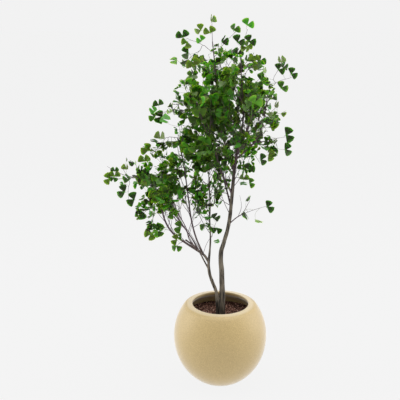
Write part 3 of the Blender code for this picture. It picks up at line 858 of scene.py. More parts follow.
def find_leaves(shape):
    """(size, turn, root) of each leaf of a rough spray."""
    links = link_thin_edges(shape)
    middles = {edge: (edge.verts[0].co + edge.verts[1].co) / 2 for edge in links}
    found = []
    for edge in sorted(links, key=middle_of):
        for chain in walk(links, [edge]):
            places = np.array([list(middles[step]) for step in chain])
            if not LEAF_SPAN[0] < np.linalg.norm(places[0] - places[-1]) < LEAF_SPAN[1]:
                continue
            size, turn, root, miss = fit_leaf(places)
            if miss > FIT_MISS or not LEAF_SIZE[0] < size < LEAF_SIZE[1]:
                continue
            known = any(
                np.linalg.norm(root - other[2]) < SAME_ROOT and abs(turn[:, 1] @ other[1][:, 1]) > SAME_WAY
                for other in found
            )
            if not known:
                found.append((size, turn, root))
    return found


wood_shape = bmesh.new()
wood_shape.from_mesh(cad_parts["trunk_and_limbs"].data)
rough_wood = BVHTree.FromBMesh(wood_shape)
wood_shape.free()
rough_leaves, twig_feet = {}, {}
for name in sprays:
    shape = bmesh.new()
    shape.from_mesh(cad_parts[name].data)
    bmesh.ops.remove_doubles(shape, verts=shape.verts, dist=WELD_ROUGH)
    rough_leaves[name] = find_leaves(shape)
    leaf_points = {point for edge in link_thin_edges(shape) for point in edge.verts}
    twig_points = [tuple(point.co) for point in shape.verts if point not in leaf_points]
    twig_points.sort(key=lambda place: (rough_wood.find_nearest(place)[3], place))
    twig_feet[name] = sum((Vector(place) for place in twig_points[:FOOT_POINTS]), Vector()) / FOOT_POINTS
    shape.free()
print("rough leaves found:", sum(len(rows) for rows in rough_leaves.values()))

# %% [markdown]
# A twig runs from its foot on a limb through the roots of all its leaves. Joining each leaf root to
# the nearest one already joined gives a small tree; its longest way out is the twig, and what is
# left over forks off it. All of them are drawn in one go, thin and slightly bent.

# %% Twigs
TWIG_ROOT = 0.9
FORK_ROOT = 0.75 * TWIG_ROOT
TWIG_TIP = 0.35
TWIG_SINK = 2.2 * MM
TIP_BEYOND = 3 * MM
ROOT_GAP = 1.5 * MM


def twig_ways(foot, roots):
    """Lines from the foot through the leaf roots: the first is the twig, the others fork off it."""
    joined, above = [foot], {}
    left = list(roots)
    while left:
        start, end = min(((a, b) for a in joined for b in left), key=lambda pair: (pair[0] - pair[1]).length)
        left.remove(end)
        joined.append(end)
        above[id(end)] = start
    ways, used = [], set()
    for end in reversed(joined[1:]):
        if id(end) in used:
            continue
        way = [end]
        while id(way[-1]) in above and id(way[-1]) not in used:
            used.add(id(way[-1]))
            way.append(above[id(way[-1])])
        ways.append(way[::-1])
    return ways


bars = []
twig_headings = {}
for name in sprays:
    foot = twig_feet[name]
    near, normal, _, _ = rough_wood.find_nearest(foot)
    roots = []
    for _, _, root in rough_leaves[name]:
        place = Vector(root)
        if all((place - other).length > ROOT_GAP for other in roots):
            roots.append(place)
    for way in twig_ways(foot, roots):
        points = list(way)
        if way[0] is foot:
            points.insert(0, near - normal * TWIG_SINK)
        points.append(points[-1] + (points[-1] - points[-2]).normalized() * TIP_BEYOND)
        start = TWIG_ROOT if way[0] is foot else FORK_ROOT
        bars.append(thin_out([place / MM for place in points], start, TWIG_TIP))
        for before, after in zip(way, way[1:]):
            twig_headings[tuple(round(c / MM, 1) for c in after)] = (after - before).normalized()
twigs, _ = draw_wood("twigs", bars, rounding=1, steps=3)
smooth(twigs, degrees=60)
twig_bark = finish_of("twig bark", 0.65, bark_of(0.3, 0.32), bump=0.3, height=0.4 * MM)
enrol(twigs, twig_bark, "bark", *sprays)
print("twigs and forks:", len(bars))

# %% [markdown]
# Between the sprays the crown holds more wood and leaves, and they are scattered by chance. A few
# egg-shaped rooms together have the crown's rough outline and depth, and keep them inside it.

# %% Rooms of the crown
# Middle and half sizes in millimetres of each room.
ROOMS = (
    ((0, 0, 905), (122, 118, 165)),
    ((-10, 0, 795), (150, 122, 120)),
    ((-128, -5, 655), (125, 105, 92)),
)


def in_crown(place, ease=1.0):
    """Whether a place in millimetres lies in one of the rooms, enlarged by ease."""
    for middle, half in ROOMS:
        if sum(((place[n] - middle[n]) / (half[n] * ease)) ** 2 for n in range(3)) < 1:
            return True
    return False


# %% [markdown]
# Seen from the front, the crown has a ragged edge, and the background shows through it in many small
# places. Both were drawn round on an enlarged print. A leaf that would lie outside the edge,
# in a gap, or over one of the limbs that show bare is turned another way, or left out.

# %% Edge of the crown
# Columns and rows of the picture round the dense part of the crown, from its upper left.
CROWN_EDGE = (
    (187, 60), (190, 56), (193, 51), (198, 54), (202, 58), (211, 59), (214, 62), (215, 57), (210, 51),
    (211, 47), (216, 43), (220, 44), (222, 48), (225, 53), (229, 50), (234, 48), (237, 50), (241, 48),
    (243, 53), (243, 61), (246, 61), (247, 54), (250, 55), (253, 51), (256, 54), (258, 54), (261, 59),
    (265, 60), (267, 66), (265, 72), (267, 77), (270, 81), (270, 85), (276, 87), (278, 96), (278, 103),
    (275, 107), (274, 98), (270, 98), (270, 110), (273, 112), (280, 113), (281, 121), (278, 130),
    (272, 131), (268, 129), (269, 135), (272, 137), (272, 143), (277, 147), (279, 153), (276, 158),
    (271, 161), (267, 156), (266, 150), (262, 151), (255, 152), (255, 158), (254, 163), (254, 170),
    (251, 174), (247, 178), (241, 179), (234, 180), (229, 190), (224, 190), (223, 200), (219, 206),
    (216, 209), (213, 207), (211, 213), (206, 214), (205, 217), (200, 214), (199, 216), (196, 219),
    (192, 219), (190, 216), (190, 206), (187, 207), (185, 203), (180, 200), (175, 203), (173, 208),
    (178, 209), (177, 213), (174, 217), (172, 221), (170, 218), (169, 212), (166, 211), (165, 216),
    (160, 214), (154, 216), (155, 220), (156, 225), (165, 225), (166, 228), (164, 234), (162, 238),
    (157, 239), (152, 240), (150, 237), (146, 237), (144, 232), (149, 229), (148, 225), (151, 220),
    (146, 219), (149, 214), (145, 211), (142, 216), (141, 221), (136, 220), (133, 214), (135, 209),
    (134, 206), (139, 200), (141, 195), (147, 192), (148, 188), (143, 190), (139, 190), (136, 185),
    (135, 178), (135, 166), (140, 165), (139, 157), (141, 155), (150, 156), (152, 161), (153, 164),
    (158, 165), (160, 163), (163, 160), (153, 160), (152, 155), (148, 153), (142, 152), (142, 144),
    (147, 142), (149, 146), (155, 149), (157, 145), (158, 142), (163, 140), (165, 142), (172, 141),
    (178, 141), (179, 139), (177, 133), (175, 130), (172, 127), (176, 125), (178, 120), (175, 115),
    (172, 112), (167, 113), (166, 107), (169, 106), (170, 102), (175, 100), (175, 95), (171, 90), (175, 89),
    (176, 86), (179, 80), (183, 79), (187, 74), (190, 70), (188, 67), (184, 70), (181, 65), (181, 61),
)
# Middle and half sizes of each gap through which the background shows.
GAPS = (
    (229, 63, 4, 4), (222, 67, 4, 3), (201, 79, 4, 4), (246, 73, 4, 3), (256, 76, 3, 6), (251, 77, 2, 2),
    (247, 62, 3, 2), (183, 91, 3.5, 4), (189, 87, 2, 3), (269, 88, 5, 2), (236, 93, 1.5, 3),
    (232, 98, 1.5, 3), (176, 107, 3, 1.5), (184, 108, 2, 2), (192, 112, 1.5, 4), (188, 123, 3.5, 2.5),
    (181, 128.5, 3.5, 1.5), (193, 133, 2, 3), (202, 130.5, 2, 1.5), (171, 151, 2, 4), (178, 149.5, 3, 2),
    (169, 159, 1.5, 2), (148, 171, 2, 1.5), (155, 172, 4, 3), (169, 173, 5, 1.5), (191, 165, 2, 3),
    (194, 173, 3, 2), (189, 181, 3, 5), (178, 183, 1.5, 3), (183, 182, 2, 3), (205, 177, 3, 3),
    (212, 173, 2, 7), (206, 182, 2, 1), (216, 182, 1, 2), (212, 188, 1.5, 2), (189, 197, 2, 4),
    (176, 197, 3, 2), (148, 204, 1, 2), (213, 199, 2, 2.5), (192, 209, 2.5, 4), (202, 209, 1.5, 2),
    (212, 103, 1.5, 1.5), (216, 135, 1.5, 4), (222, 141, 1, 2.5), (217, 147, 1, 3), (227, 153, 1, 3),
    (222, 161, 1.5, 2), (241, 161, 1.5, 3), (247, 161, 3, 3.5), (246, 129, 3, 3), (255, 120, 3, 1.5),
    (265, 128, 2.5, 6), (262, 141, 2, 2), (271, 150, 1.5, 3), (240, 172, 1, 4), (247, 174, 1.5, 2),
    (230, 174, 1, 4), (231, 185, 1, 5), (228, 163, 1, 2), (225, 180, 1, 2),
)
# Columns and rows along the limbs that show bare, and how far the leaves in front keep from them.
BARE_LINES = (
    ((232, 200), (234, 172), (236, 158), (236, 148), (233, 138), (230, 128)),
    ((237, 159), (247, 150), (256, 141)), ((226, 196), (222, 172), (219, 150), (219, 142)),
    ((192, 226), (187, 196), (185, 176), (185, 160)),
    ((232, 118), (235, 106), (241, 96), (241, 78), (240, 62)), ((215, 88), (215, 70), (213, 58)),
    ((209, 214), (209, 190), (208, 168)), ((249, 135), (257, 122), (264, 112)), ((243, 126), (243, 112)),
)
BARE_WIDTH = 1.6
BARE_STEPS = 20


def draw_edge():
    """For each pixel whether it is in the crown's edge and in no gap, and whether it shows bare wood."""
    rows, columns = np.mgrid[0:PICTURE_SIZE, 0:PICTURE_SIZE] + 0.5
    inside = np.zeros(rows.shape, bool)
    for (x, y), (next_x, next_y) in zip(CROWN_EDGE, CROWN_EDGE[1:] + CROWN_EDGE[:1]):
        if y != next_y:
            crossing = x + (rows - y) * (next_x - x) / (next_y - y)
            inside ^= ((y > rows) != (next_y > rows)) & (columns < crossing)
    for x, y, wide, high in GAPS:
        inside &= ((columns - x) / wide) ** 2 + ((rows - y) / high) ** 2 > 1
    bare = np.zeros(rows.shape, bool)
    for line in BARE_LINES:
        for (x, y), (next_x, next_y) in zip(line, line[1:]):
            for share in spread(0, 1, BARE_STEPS):
                off = np.hypot(columns - x - (next_x - x) * share, rows - y - (next_y - y) * share)
                bare |= off < BARE_WIDTH
    return inside, bare


crown_inside, bare_wood = draw_edge()


def faults(places):
    """How many places are seen outside the crown, in a gap or in front of a bare limb."""
    count = 0
    for place in places:
        column, row = (int(value) for value in pixel_of(place))
        count += not crown_inside[row, column] or (bare_wood[row, column] and place.y < 0)
    return count


print("pixels in the crown:", crown_inside.sum(), "and over bare limbs:", bare_wood.sum())

# %% [markdown]
# Between the sprays the crown is full of thin upright shoots. Each starts on a limb, leans off it and
# bends upwards, and is drawn again until it stays inside the rooms and the edge. Two of every five
# stay bare, and the rest get leaves. The bare twigs under the crown are given one by one.

# %% Shoots and bare twigs
# What bears the shoots, the first and last share of it that they take, and how many there are.
BEARERS = (
    ("trunk", 0.42, 0.95, 32), ("stem", 0.45, 0.97, 27), ("leader", 0.1, 0.9, 21),
    ("right_limb", 0.2, 0.9, 16), ("front_limb", 0.15, 0.95, 20), ("rear_limb", 0.15, 0.95, 16),
    ("left_riser", 0.3, 0.97, 15), ("left_limb", 0.3, 0.92, 17), ("left_rear", 0.35, 0.97, 12),
    ("left_front", 0.35, 0.97, 10), ("rear_right", 0.3, 0.95, 7), ("front_right", 0.3, 0.95, 9),
)
# Of each round of so many shoots, these have no leaves.
SHOOT_ROUND = 5
BARE_SHOOTS = (1, 3)
SHOOT_LENGTH = (70, 150)
SHOOT_LEAN = (22, 60)
SHOOT_BENDS = (0.0, 0.35, 0.7)
LOOK_AHEAD = 0.03
SHOOT_TRIES = 40
SHOOT_ROOT = 1.0
SHOOT_TIP = 0.4
UP = Vector((0, 0, 1))
BARE_TWIGS = (
    ((-58, -8, 434), (-85, 8, 478), (-112, 20, 513), (-168, 30, 552), (-205, 34, 556)),
    ((-76, -15, 449), (-106, 4, 500), (-131, 10, 552), (-146, 14, 594)),
    ((-72, -14, 447), (-96, -30, 500), (-126, -44, 545)),
    ((-86, -4, 520), (-68, -16, 536), (-56, -22, 560)),
    ((-56, -8, 433), (-43, -26, 477), (-26, -34, 507)),
    ((-104, -20, 470), (-130, -34, 503), (-162, -44, 524)),
    ((-96, 2, 560), (-120, -12, 600), (-134, -16, 640)),
    ((-250, -14, 680), (-292, -20, 690), (-322, -22, 704), (-346, -20, 718)),
    ((-245, -16, 677), (-282, -26, 690), (-300, -30, 716)),
    ((52, -11, 556), (62, -18, 590), (56, -22, 628)),
    ((66, -16, 567), (80, -18, 596), (88, -18, 612)),
)
draw = random.Random(7)


def draw_shoot(bearer, share):
    """Points of a shoot that leans off its bearer and bends up, or nothing if there is no room."""
    start = along(lines[bearer], share)
    heading = (along(lines[bearer], share + LOOK_AHEAD) - start).normalized()
    for _ in range(SHOOT_TRIES):
        lean = Matrix.Rotation(math.radians(draw.uniform(*SHOOT_LEAN)), 3, heading.orthogonal())
        swing = Matrix.Rotation(draw.uniform(0, math.tau), 3, heading)
        way = swing @ lean @ heading
        step = draw.uniform(*SHOOT_LENGTH) / len(SHOOT_BENDS)
        points = [start]
        for bend in SHOOT_BENDS:
            points.append(points[-1] + (way + UP * bend).normalized() * step)
        if in_crown(points[-1]) and in_crown(points[2]) and not faults([point * MM for point in points[2:]]):
            return points
    return None


shoot_bars = []
for bearer, first, last, count in BEARERS:
    for share in spread(first, last, count - 1):
        points = draw_shoot(bearer, share)
        if points:
            shoot_bars.append(points)
shoot_count = len(shoot_bars)
bars = [thin_out(points, SHOOT_ROOT, SHOOT_TIP) for points in shoot_bars + list(BARE_TWIGS)]
shoots, shoot_lines = draw_wood("shoots", bars, rounding=0, steps=3)
smooth(shoots, degrees=60)
enrol(shoots, twig_bark, "bark")
print("shoots:", shoot_count, "bare twigs:", len(BARE_TWIGS))

# %% [markdown]
# A ginkgo leaf is a fan on a thin stalk, with two round lobes and a narrow notch between them, and
# its veins all run out from the stalk. A grid is the right start: its columns are swung out one by
# one like the sticks of a fan, so that each column, and the grid's own UV map, follows a vein.

# %% One leaf
STALK = 15.0
# Angle off the middle and reach in millimetres of each column, from the notch outwards.
FAN = ((13, 19.5), (21, 24.8), (43, 24.3), (64, 23.6), (81, 22.6), (89, 18.5))
BLADE_THICKNESS = 0.5
# The grid is 1 across and starts this far out, so that its inner corners don't fall on one point.
GRID_START = 0.04
# Distances in millimetres at which the cup and the fold of a blade reach their full lift.
CUP_REACH = 25
FOLD_REACH = 18
# How far the blade starts before the stalk's end, and how far the stalk's tip runs into the blade.
BLADE_SINK = 0.8
STALK_SINK = 1
STALK_THICKNESS = (0.75, 0.5)
WELD_LEAF = 0.001


def model_leaf(notch, spread_out, cup, fold, waves):
    """A leaf along +Y: its notch, how far its lobes spread, its cup, its fold and its edge's waves."""
    half = [(angle * spread_out, reach) for angle, reach in FAN]
    columns = [(-angle, reach) for angle, reach in reversed(half)] + [(0, notch)] + half
    bpy.ops.object.select_all(action="DESELECT")
    bpy.ops.mesh.primitive_grid_add(x_subdivisions=len(columns) - 1, y_subdivisions=2, size=1)
    leaf = bpy.context.object
    bpy.ops.object.mode_set(mode="EDIT")
    bpy.ops.mesh.select_mode(type="VERT")
    for number, (angle, reach) in enumerate(columns):
        bpy.ops.mesh.select_all(action="DESELECT")
        shape = bmesh.from_edit_mesh(leaf.data)
        column = list(shape.verts)[number::len(columns)]
        offset = column[0].co.x
        for point in column:
            point.select = True
        shape.select_flush(True)
        bmesh.update_edit_mesh(leaf.data)
        bpy.ops.transform.translate(value=(-offset, 0.5 + GRID_START, 0))
        bpy.ops.transform.resize(value=(1, reach / (1 + GRID_START), 1), center_override=(0, 0, 0))
        bpy.ops.transform.rotate(value=math.radians(angle), orient_axis="Z", center_override=(0, 0, 0))
    bpy.ops.object.mode_set(mode="OBJECT")
    last = 2 * len(columns)
    for number, point in enumerate(leaf.data.vertices):
        wide, out = point.co.x, point.co.y
        away = math.hypot(wide, out) / CUP_REACH
        wave = waves[number % len(columns)] if number >= last else 0
        point.co.z = cup * away ** 2 + fold * abs(wide) / FOLD_REACH * away + wave
        point.co.y += STALK - BLADE_SINK
    inner = list(range(len(columns) + 1, 2 * len(columns) - 1))
    leaf.vertex_groups.new(name="inner").add(inner, 1, "REPLACE")
    modify(leaf, "SOLIDIFY", thickness=BLADE_THICKNESS, offset=0, vertex_group="inner", use_rim=False)
    bpy.ops.object.mode_set(mode="EDIT")
    bpy.ops.mesh.select_all(action="SELECT")
    bpy.ops.mesh.remove_doubles(threshold=WELD_LEAF)
    bpy.ops.object.mode_set(mode="OBJECT")
    bpy.ops.object.select_all(action="DESELECT")
    length = STALK + STALK_SINK
    bpy.ops.mesh.primitive_cone_add(
        vertices=3, radius1=STALK_THICKNESS[0], radius2=STALK_THICKNESS[1], depth=length,
        end_fill_type="NGON", location=(0, length / 2, 0), rotation=(-math.pi / 2, 0, 0),
    )
    stalk = bpy.context.object
    bpy.ops.object.transform_apply(location=True, rotation=True, scale=True)
    leaf = join([leaf, stalk], "leaf")
    for point in leaf.data.vertices:
        point.co *= MM
    return read_pattern(leaf)


LEAVES = (
    model_leaf(4.5, 1.0, 3.5, 1.0, (0, 0.9, -0.7, 0.9, -0.6, 0, 0, 0, 0.7, -0.8, 0.9, -0.7, 0)),
    model_leaf(7.5, 0.95, 2.5, 6.0, (0.6, -0.9, 0.7, -0.9, 0.6, 0.4, 0, 0.4, -0.6, 0.9, -0.9, 0.8, -0.4)),
    model_leaf(5.5, 1.05, 6.0, -3.0, (-0.7, 1.0, -1.2, 1.0, -0.4, 0, 0, 0, 0.6, 1.0, -1.2, 0.7, 0.6)),
    model_leaf(11.0, 0.82, 4.5, 3.0, (0.5, -1.2, 1.3, -0.9, 0.5, 0, 0, 0, -0.7, 1.2, -1.3, 0.8, 0)),
    model_leaf(5.0, 0.92, 5.0, 9.0, (0, 1.2, -1.4, 0.8, 0, 0, 0, 0, 0.8, -1.2, 1.4, -1.0, 0.4)),
)
print("faces of a leaf:", len(LEAVES[0][1]))

# %% [markdown]
# A leaf that is hung by chance may cut through another or stick out of the crown. A coarse outline
# is kept of each leaf that hangs, and a new one that would cut wood or a neighbour, or be seen
# outside the edge, is passed over. Of those that fit, the one that covers most of the crown that is
# still open is hung.

# %% Hanging the leaves
# A leaf's coarse outline, and the two faces that it has.
SHIELD = ((0, 15), (19, 14), (20, 26), (10.5, 38), (-10.5, 38), (-20, 26), (-19, 14))
SHIELD_FACES = ((0, 1, 2, 3), (0, 4, 5, 6))
COMPANIONS = 2.4
TRIES = 22
REACH = (-6, 12)
COMPANION_SIZE = (0.5, 0.95)
SHOOT_LEAF_GAP = 10
MOST_LEAVES = 4000
LOWEST_LEAF = 300 * MM
NEAR = 60 * MM
MOST_STRAY = 0.14
# Leaves face outwards, a little to the front and up, and are then tilted by between 8 and 88 degrees.
OUTWARDS = 0.8
FRONT_AND_UP = Vector((0, -0.35, 0.55))
MOST_TILT = 88
TILT_RANGE = 80
TILT_BIAS = 1.5
# Chance tones end here, because the palest green is kept for single leaves of the photograph.
LAST_TONE = 0.94
# Middles of the leaves that hang; those still to come are kept far away, in metres.
FAR_AWAY = 9.0
draw = random.Random(23)
hung_shields, hung_middles = [], np.full((MOST_LEAVES, 3), FAR_AWAY)
wood_shape = bmesh.new()
for piece in (stems, limbs, twigs, shoots):
    wood_shape.from_mesh(piece.data)
fine_wood = BVHTree.FromBMesh(wood_shape)
wood_shape.free()


def shield_of(matrix, reach):
    """The places of a leaf's coarse outline, with its stalk drawn out by a reach."""
    return [matrix @ (Vector((x, y + reach, 0)) * MM) for x, y in SHIELD]


def clear(places):
    """Whether a coarse outline is inside the rough model's box and cuts neither leaf nor wood."""
    for place in places:
        if place.z < LOWEST_LEAF or any(not cad_low[n] < place[n] < cad_high[n] for n in range(3)):
            return False
    tree = BVHTree.FromPolygons(places, SHIELD_FACES)
    if tree.overlap(fine_wood):
        return False
    middle = sum(places, Vector()) / len(places)
    near = np.flatnonzero(np.linalg.norm(hung_middles - np.array(middle), axis=1) < NEAR)
    return not any(tree.overlap(hung_shields[number]) for number in near)


# Places on a blade, as distance and angle from its root, that stand for what it covers.
BLADE_MARKS = ((9, 30), (9, 70), (17, 27), (17, 52), (17, 80), (23, 30), (22, 55), (20, 85))
marks = [
    (side * reach * math.sin(math.radians(angle)), STALK + reach * math.cos(math.radians(angle)), 0)
    for reach, angle in BLADE_MARKS
    for side in (-1, 1)
]
marks = np.array(marks) * MM
SPREAD = np.array([(0, 0), (1, 0), (-1, 0), (0, 1), (0, -1)])
covered = np.zeros(crown_inside.shape, bool)


def seen_marks(matrix, reach):
    """Columns and rows of the picture that a leaf covers."""
    turn = np.array(matrix)
    places = (marks + (0, reach * MM, 0)) @ turn[:3, :3].T + turn[:3, 3] - CAMERA_PLACE
    seen_at = places @ np.array(camera_turn)
    pixels = seen_at[:, :2] * (1, -1) * PICTURE_FOCUS / -seen_at[:, 2:] + PICTURE_SIZE / 2
    return (pixels.astype(int)[:, None] + SPREAD).reshape(-1, 2).T


def stray_share(matrix, reach):
    """The share of a leaf's marks that is seen outside the crown or in one of its gaps."""
    columns, rows = seen_marks(matrix, reach)
    return 1 - crown_inside[rows, columns].mean()


def gain_of(matrix, reach):
    """How many pixels of the crown a leaf would cover that no leaf covers yet."""
    columns, rows = seen_marks(matrix, reach)
    fresh = np.unique((rows * PICTURE_SIZE + columns)[crown_inside[rows, columns] & ~covered[rows, columns]])
    return len(fresh)


def hang(jobs, matrix, reach, tone, shapes=LEAVES):
    """Adds a leaf to the jobs: one of some patterns, its stalk drawn out, its place and a tone."""
    columns, rows = seen_marks(matrix, reach)
    covered[rows, columns] = True
    places = shield_of(matrix, reach)
    hung_middles[len(hung_shields)] = sum(places, Vector()) / len(places)
    hung_shields.append(BVHTree.FromPolygons(places, SHIELD_FACES))
    points, faces, flat, sides = draw.choice(shapes)
    drawn = points.copy()
    drawn[:, 1] += reach * MM * np.clip(points[:, 1] / (STALK * MM), 0, 1)
    jobs.append(((drawn, faces, flat, sides), matrix, tone))


def offer_leaf(root, way, reach, size):
    """A leaf of chance tilt from a root: its matrix, or nothing where it would be out of place."""
    face = (root - CROWN_CENTRE).normalized() * OUTWARDS + FRONT_AND_UP
    side = way.cross(face).normalized()
    turn = Matrix((side, way, side.cross(way))).transposed()
    tilt = draw.choice((-1, 1)) * (MOST_TILT - TILT_RANGE * draw.random() ** TILT_BIAS)
    turn = turn @ Matrix.Rotation(math.radians(tilt), 3, "Y")
    matrix = Matrix.Translation(root) @ (turn * size).to_4x4()
    if faults(shield_of(matrix, reach)) or stray_share(matrix, reach) > MOST_STRAY:
        return None
    return matrix


def try_leaves(jobs, root, draw_way):
    """Hangs from a root that one of a few leaves which covers most of the crown still uncovered."""
    offers = []
    for _ in range(TRIES):
        reach = draw.uniform(*REACH)
        matrix = offer_leaf(root, draw_way(), reach, draw.uniform(*COMPANION_SIZE))
        if matrix:
            offers.append((gain_of(matrix, reach), len(offers), matrix, reach))
    for _, _, matrix, reach in sorted(offers, key=lambda offer: offer[:2], reverse=True):
        if clear(shield_of(matrix, reach)):
            hang(jobs, matrix, reach, LAST_TONE * draw.random())
            return


# %% [markdown]
# The outermost leaves make the outline of the tree, so they are set one by one by the photograph.
# Each row tells where in the picture a blade leaves its stalk, which way it points, its size, how far
# it is turned on edge, and its tone. The nearest free root of a rough leaf carries it on a bent
# stalk, a little in front of the root's own depth, so that it also hangs on its twig when seen from
# the side. Where no free root is near, the nearest shoot, bare twig or limb carries it.

# %% Leaves set by the photograph
DARK, GREEN, OLIVE, BRIGHT, PALE = 0.17, 0.45, 0.63, 0.84, 1.0
# Column and row of the picture, direction in degrees from the right upwards, size, turn, tone.
SET_LEAVES = (
    (211.5, 21.5, 90, 0.9, 62, OLIVE), (210, 33, 112, 0.9, 10, OLIVE), (200.9, 30.2, 151, 0.85, 15, OLIVE),
    (201.5, 40.8, 131, 0.75, 20, BRIGHT), (183, 37.5, 105, 0.95, 0, DARK),
    (187.3, 41.8, 228, 0.85, 15, OLIVE), (188.5, 53, 180, 0.95, 0, DARK), (177, 60.5, 172, 1.0, 72, PALE),
    (182.5, 60, 262, 0.8, 75, OLIVE), (183.5, 61.5, 300, 0.85, 40, DARK), (194, 66, 110, 1.0, 10, OLIVE),
    (198, 61, 70, 0.8, 20, OLIVE), (233.7, 30.4, 66, 0.85, 30, GREEN), (222, 42.5, 62, 1.0, 62, DARK),
    (247.1, 25.3, 56, 0.9, 0, BRIGHT), (237.3, 42.3, 46, 0.95, 0, DARK), (249, 42, 48, 0.9, 0, DARK),
    (247, 47, 250, 0.8, 35, OLIVE), (247, 46.5, 60, 0.8, 35, OLIVE), (237.5, 54, 75, 0.85, 25, DARK),
    (232.5, 56, 100, 0.9, 40, BRIGHT), (254.4, 60, 92, 0.75, 5, OLIVE), (247, 61, 85, 0.8, 45, GREEN),
    (259.5, 62, 60, 0.85, 10, DARK), (281.7, 62.3, 108, 0.9, 45, OLIVE), (278.3, 70, 37, 0.85, 0, DARK),
    (283.3, 68, 68, 0.85, 50, DARK), (291, 74, 28, 0.85, 0, DARK), (261, 80.7, 45, 1.0, 0, DARK),
    (281, 88.4, 44, 0.9, 0, GREEN), (269, 85.5, -3, 0.7, 72, OLIVE), (263.5, 72, 85, 0.8, 68, PALE),
    (158.7, 105.3, 100, 0.8, 20, DARK), (154.7, 112, 120, 0.9, 55, BRIGHT),
    (154.8, 117.3, 142, 0.85, 45, GREEN), (162.8, 117, 172, 1.25, 48, DARK),
    (161.3, 118.2, -26, 1.15, 52, BRIGHT), (170, 112.5, 105, 0.6, 45, PALE),
    (160, 138.8, 80, 1.05, 42, OLIVE), (157.5, 141.5, 157, 1.05, 81, GREEN),
    (148.5, 150, 140, 1.0, 20, OLIVE), (144.5, 161.5, 95, 1.0, 20, OLIVE),
    (126.3, 169.3, 88, 0.8, 45, OLIVE), (127, 160.5, 90, 0.5, 75, GREEN),
    (134.5, 163.4, 141, 0.85, 68, DARK), (136, 164, 88, 0.6, 78, PALE), (114.8, 171, 90, 0.62, 0, DARK),
    (114.5, 176.5, 90, 0.85, 0, OLIVE), (109.8, 178.7, 176, 0.88, 0, OLIVE),
    (113.5, 177.6, 262, 0.65, 10, DARK), (129, 180.5, 124, 1.05, 55, GREEN),
    (122.5, 183, 180, 0.5, 65, BRIGHT), (125, 192, 159, 1.02, 0, DARK), (134.5, 199.7, 162, 1.05, 0, DARK),
    (141.3, 210.4, 231, 1.2, 48, DARK), (138, 207, 180, 0.5, 60, GREEN), (151, 222.5, 185, 0.8, 65, DARK),
    (153, 229.5, 105, 0.9, 20, GREEN), (155.5, 230.8, -3, 1.25, 35, GREEN),
    (150.7, 233.7, 232, 0.9, 5, OLIVE), (172, 213.5, 305, 0.75, 0, GREEN), (181, 227, 172, 0.95, 10, GREEN),
    (177, 240, 165, 0.85, 15, OLIVE), (181, 236.5, 178, 0.55, 20, GREEN),
    (176.6, 245.8, 261, 0.85, 33, GREEN), (272, 99, 80, 0.8, 30, DARK), (275, 106.5, 72, 0.85, 68, OLIVE),
    (269, 109, 92, 0.9, 75, BRIGHT), (275, 115, 20, 0.5, 0, GREEN), (281.3, 113.8, 38, 0.75, 70, OLIVE),
    (271, 121.5, 0, 1.1, 5, OLIVE), (285.6, 135.3, 9, 1.12, 0, DARK), (284.7, 149.7, 6, 0.95, 0, DARK),
    (269, 144, 110, 0.8, 30, DARK), (268, 152, 80, 1.0, 70, GREEN), (273.5, 142.5, 50, 0.7, 70, OLIVE),
    (273, 146, 315, 0.7, 65, DARK), (273, 152, -15, 0.7, 0, DARK), (268.5, 155, -10, 0.85, 10, OLIVE),
    (260.5, 159.7, 8, 0.85, 0, DARK), (248.5, 169.5, 60, 0.9, 15, DARK), (243.5, 179.5, 85, 0.8, 20, OLIVE),
    (249.5, 183, 10, 0.75, 10, GREEN), (240.5, 183, 3, 1.0, 78, BRIGHT), (246, 200.5, 60, 0.95, 76, GREEN),
    (267, 207.3, 20, 0.95, 0, DARK), (243.5, 211.8, -50, 1.25, 79, GREEN),
    (255.5, 219.7, -10, 1.1, 81, PALE), (213.8, 218.7, 50, 0.95, 48, DARK),
    (204.5, 217.5, 15, 1.1, 76, BRIGHT), (210, 226, 170, 0.8, 68, GREEN), (204.5, 224, 268, 1.0, 72, GREEN),
    (212.5, 228.5, 215, 0.7, 70, BRIGHT), (217, 228, 262, 0.85, 10, DARK), (219, 241, 203, 0.8, 74, BRIGHT),
)
# How many pixels away a free root may be.
LONGEST_STALK = 15
# Millimetres that a blade keeps of its own straight stalk; the rest of its way is the bent one.
STALK_LEFT = 3
STALK_SAG = 0.15
STALK_RADII = (0.4, 0.35, 0.3)
# The first patterns have the deepest notches, as the leaves that stand out against the sky do.
SPLIT_LEAVES = 3
STALK_DEPTH = 5 * MM
PERCH_STEP = 3
leaf_jobs = {name: [] for name in sprays}
leaf_jobs["inner"] = []
free = [(name, *leaf, pixel_of(leaf[2])) for name in sprays for leaf in rough_leaves[name]]
perches = [
    ("inner", place, pixel_of(place))
    for line in [*shoot_lines, *lines.values()]
    for place in line[::PERCH_STEP]
]
stalk_bars, long_ones = [], []
for column, row, angle, size, turned, tone in SET_LEAVES:
    spot = Vector((column, row))
    best = min(free, key=lambda leaf: (leaf[-1] - spot).length)
    if (best[-1] - spot).length > LONGEST_STALK:
        best = min(perches, key=lambda perch: (perch[-1] - spot).length)
        long_ones.append((column, row, round((best[-1] - spot).length, 1)))
    else:
        free.remove(best)
    name, root = best[0], Vector(best[-2])
    base = place_of(column, row, root.y - STALK_DEPTH)
    way = RIGHT * math.cos(math.radians(angle)) + ABOVE * math.sin(math.radians(angle))
    side = way.cross(TOWARDS).normalized()
    turn = Matrix((side, way, side.cross(way))).transposed()
    turn = turn @ Matrix.Rotation(math.radians(turned if column > PICTURE_MIDDLE.x else -turned), 3, "Y")
    start = base - way * STALK_LEFT * MM
    matrix = Matrix.Translation(start) @ (turn * size).to_4x4()
    hang(leaf_jobs[name], matrix, STALK_LEFT - STALK, tone, LEAVES[:SPLIT_LEAVES])
    middle = (root + start) / 2 - way * (root - start).length * STALK_SAG
    stalk_bars.append([(*(place / MM), radius) for place, radius in zip((root, middle, base), STALK_RADII)])
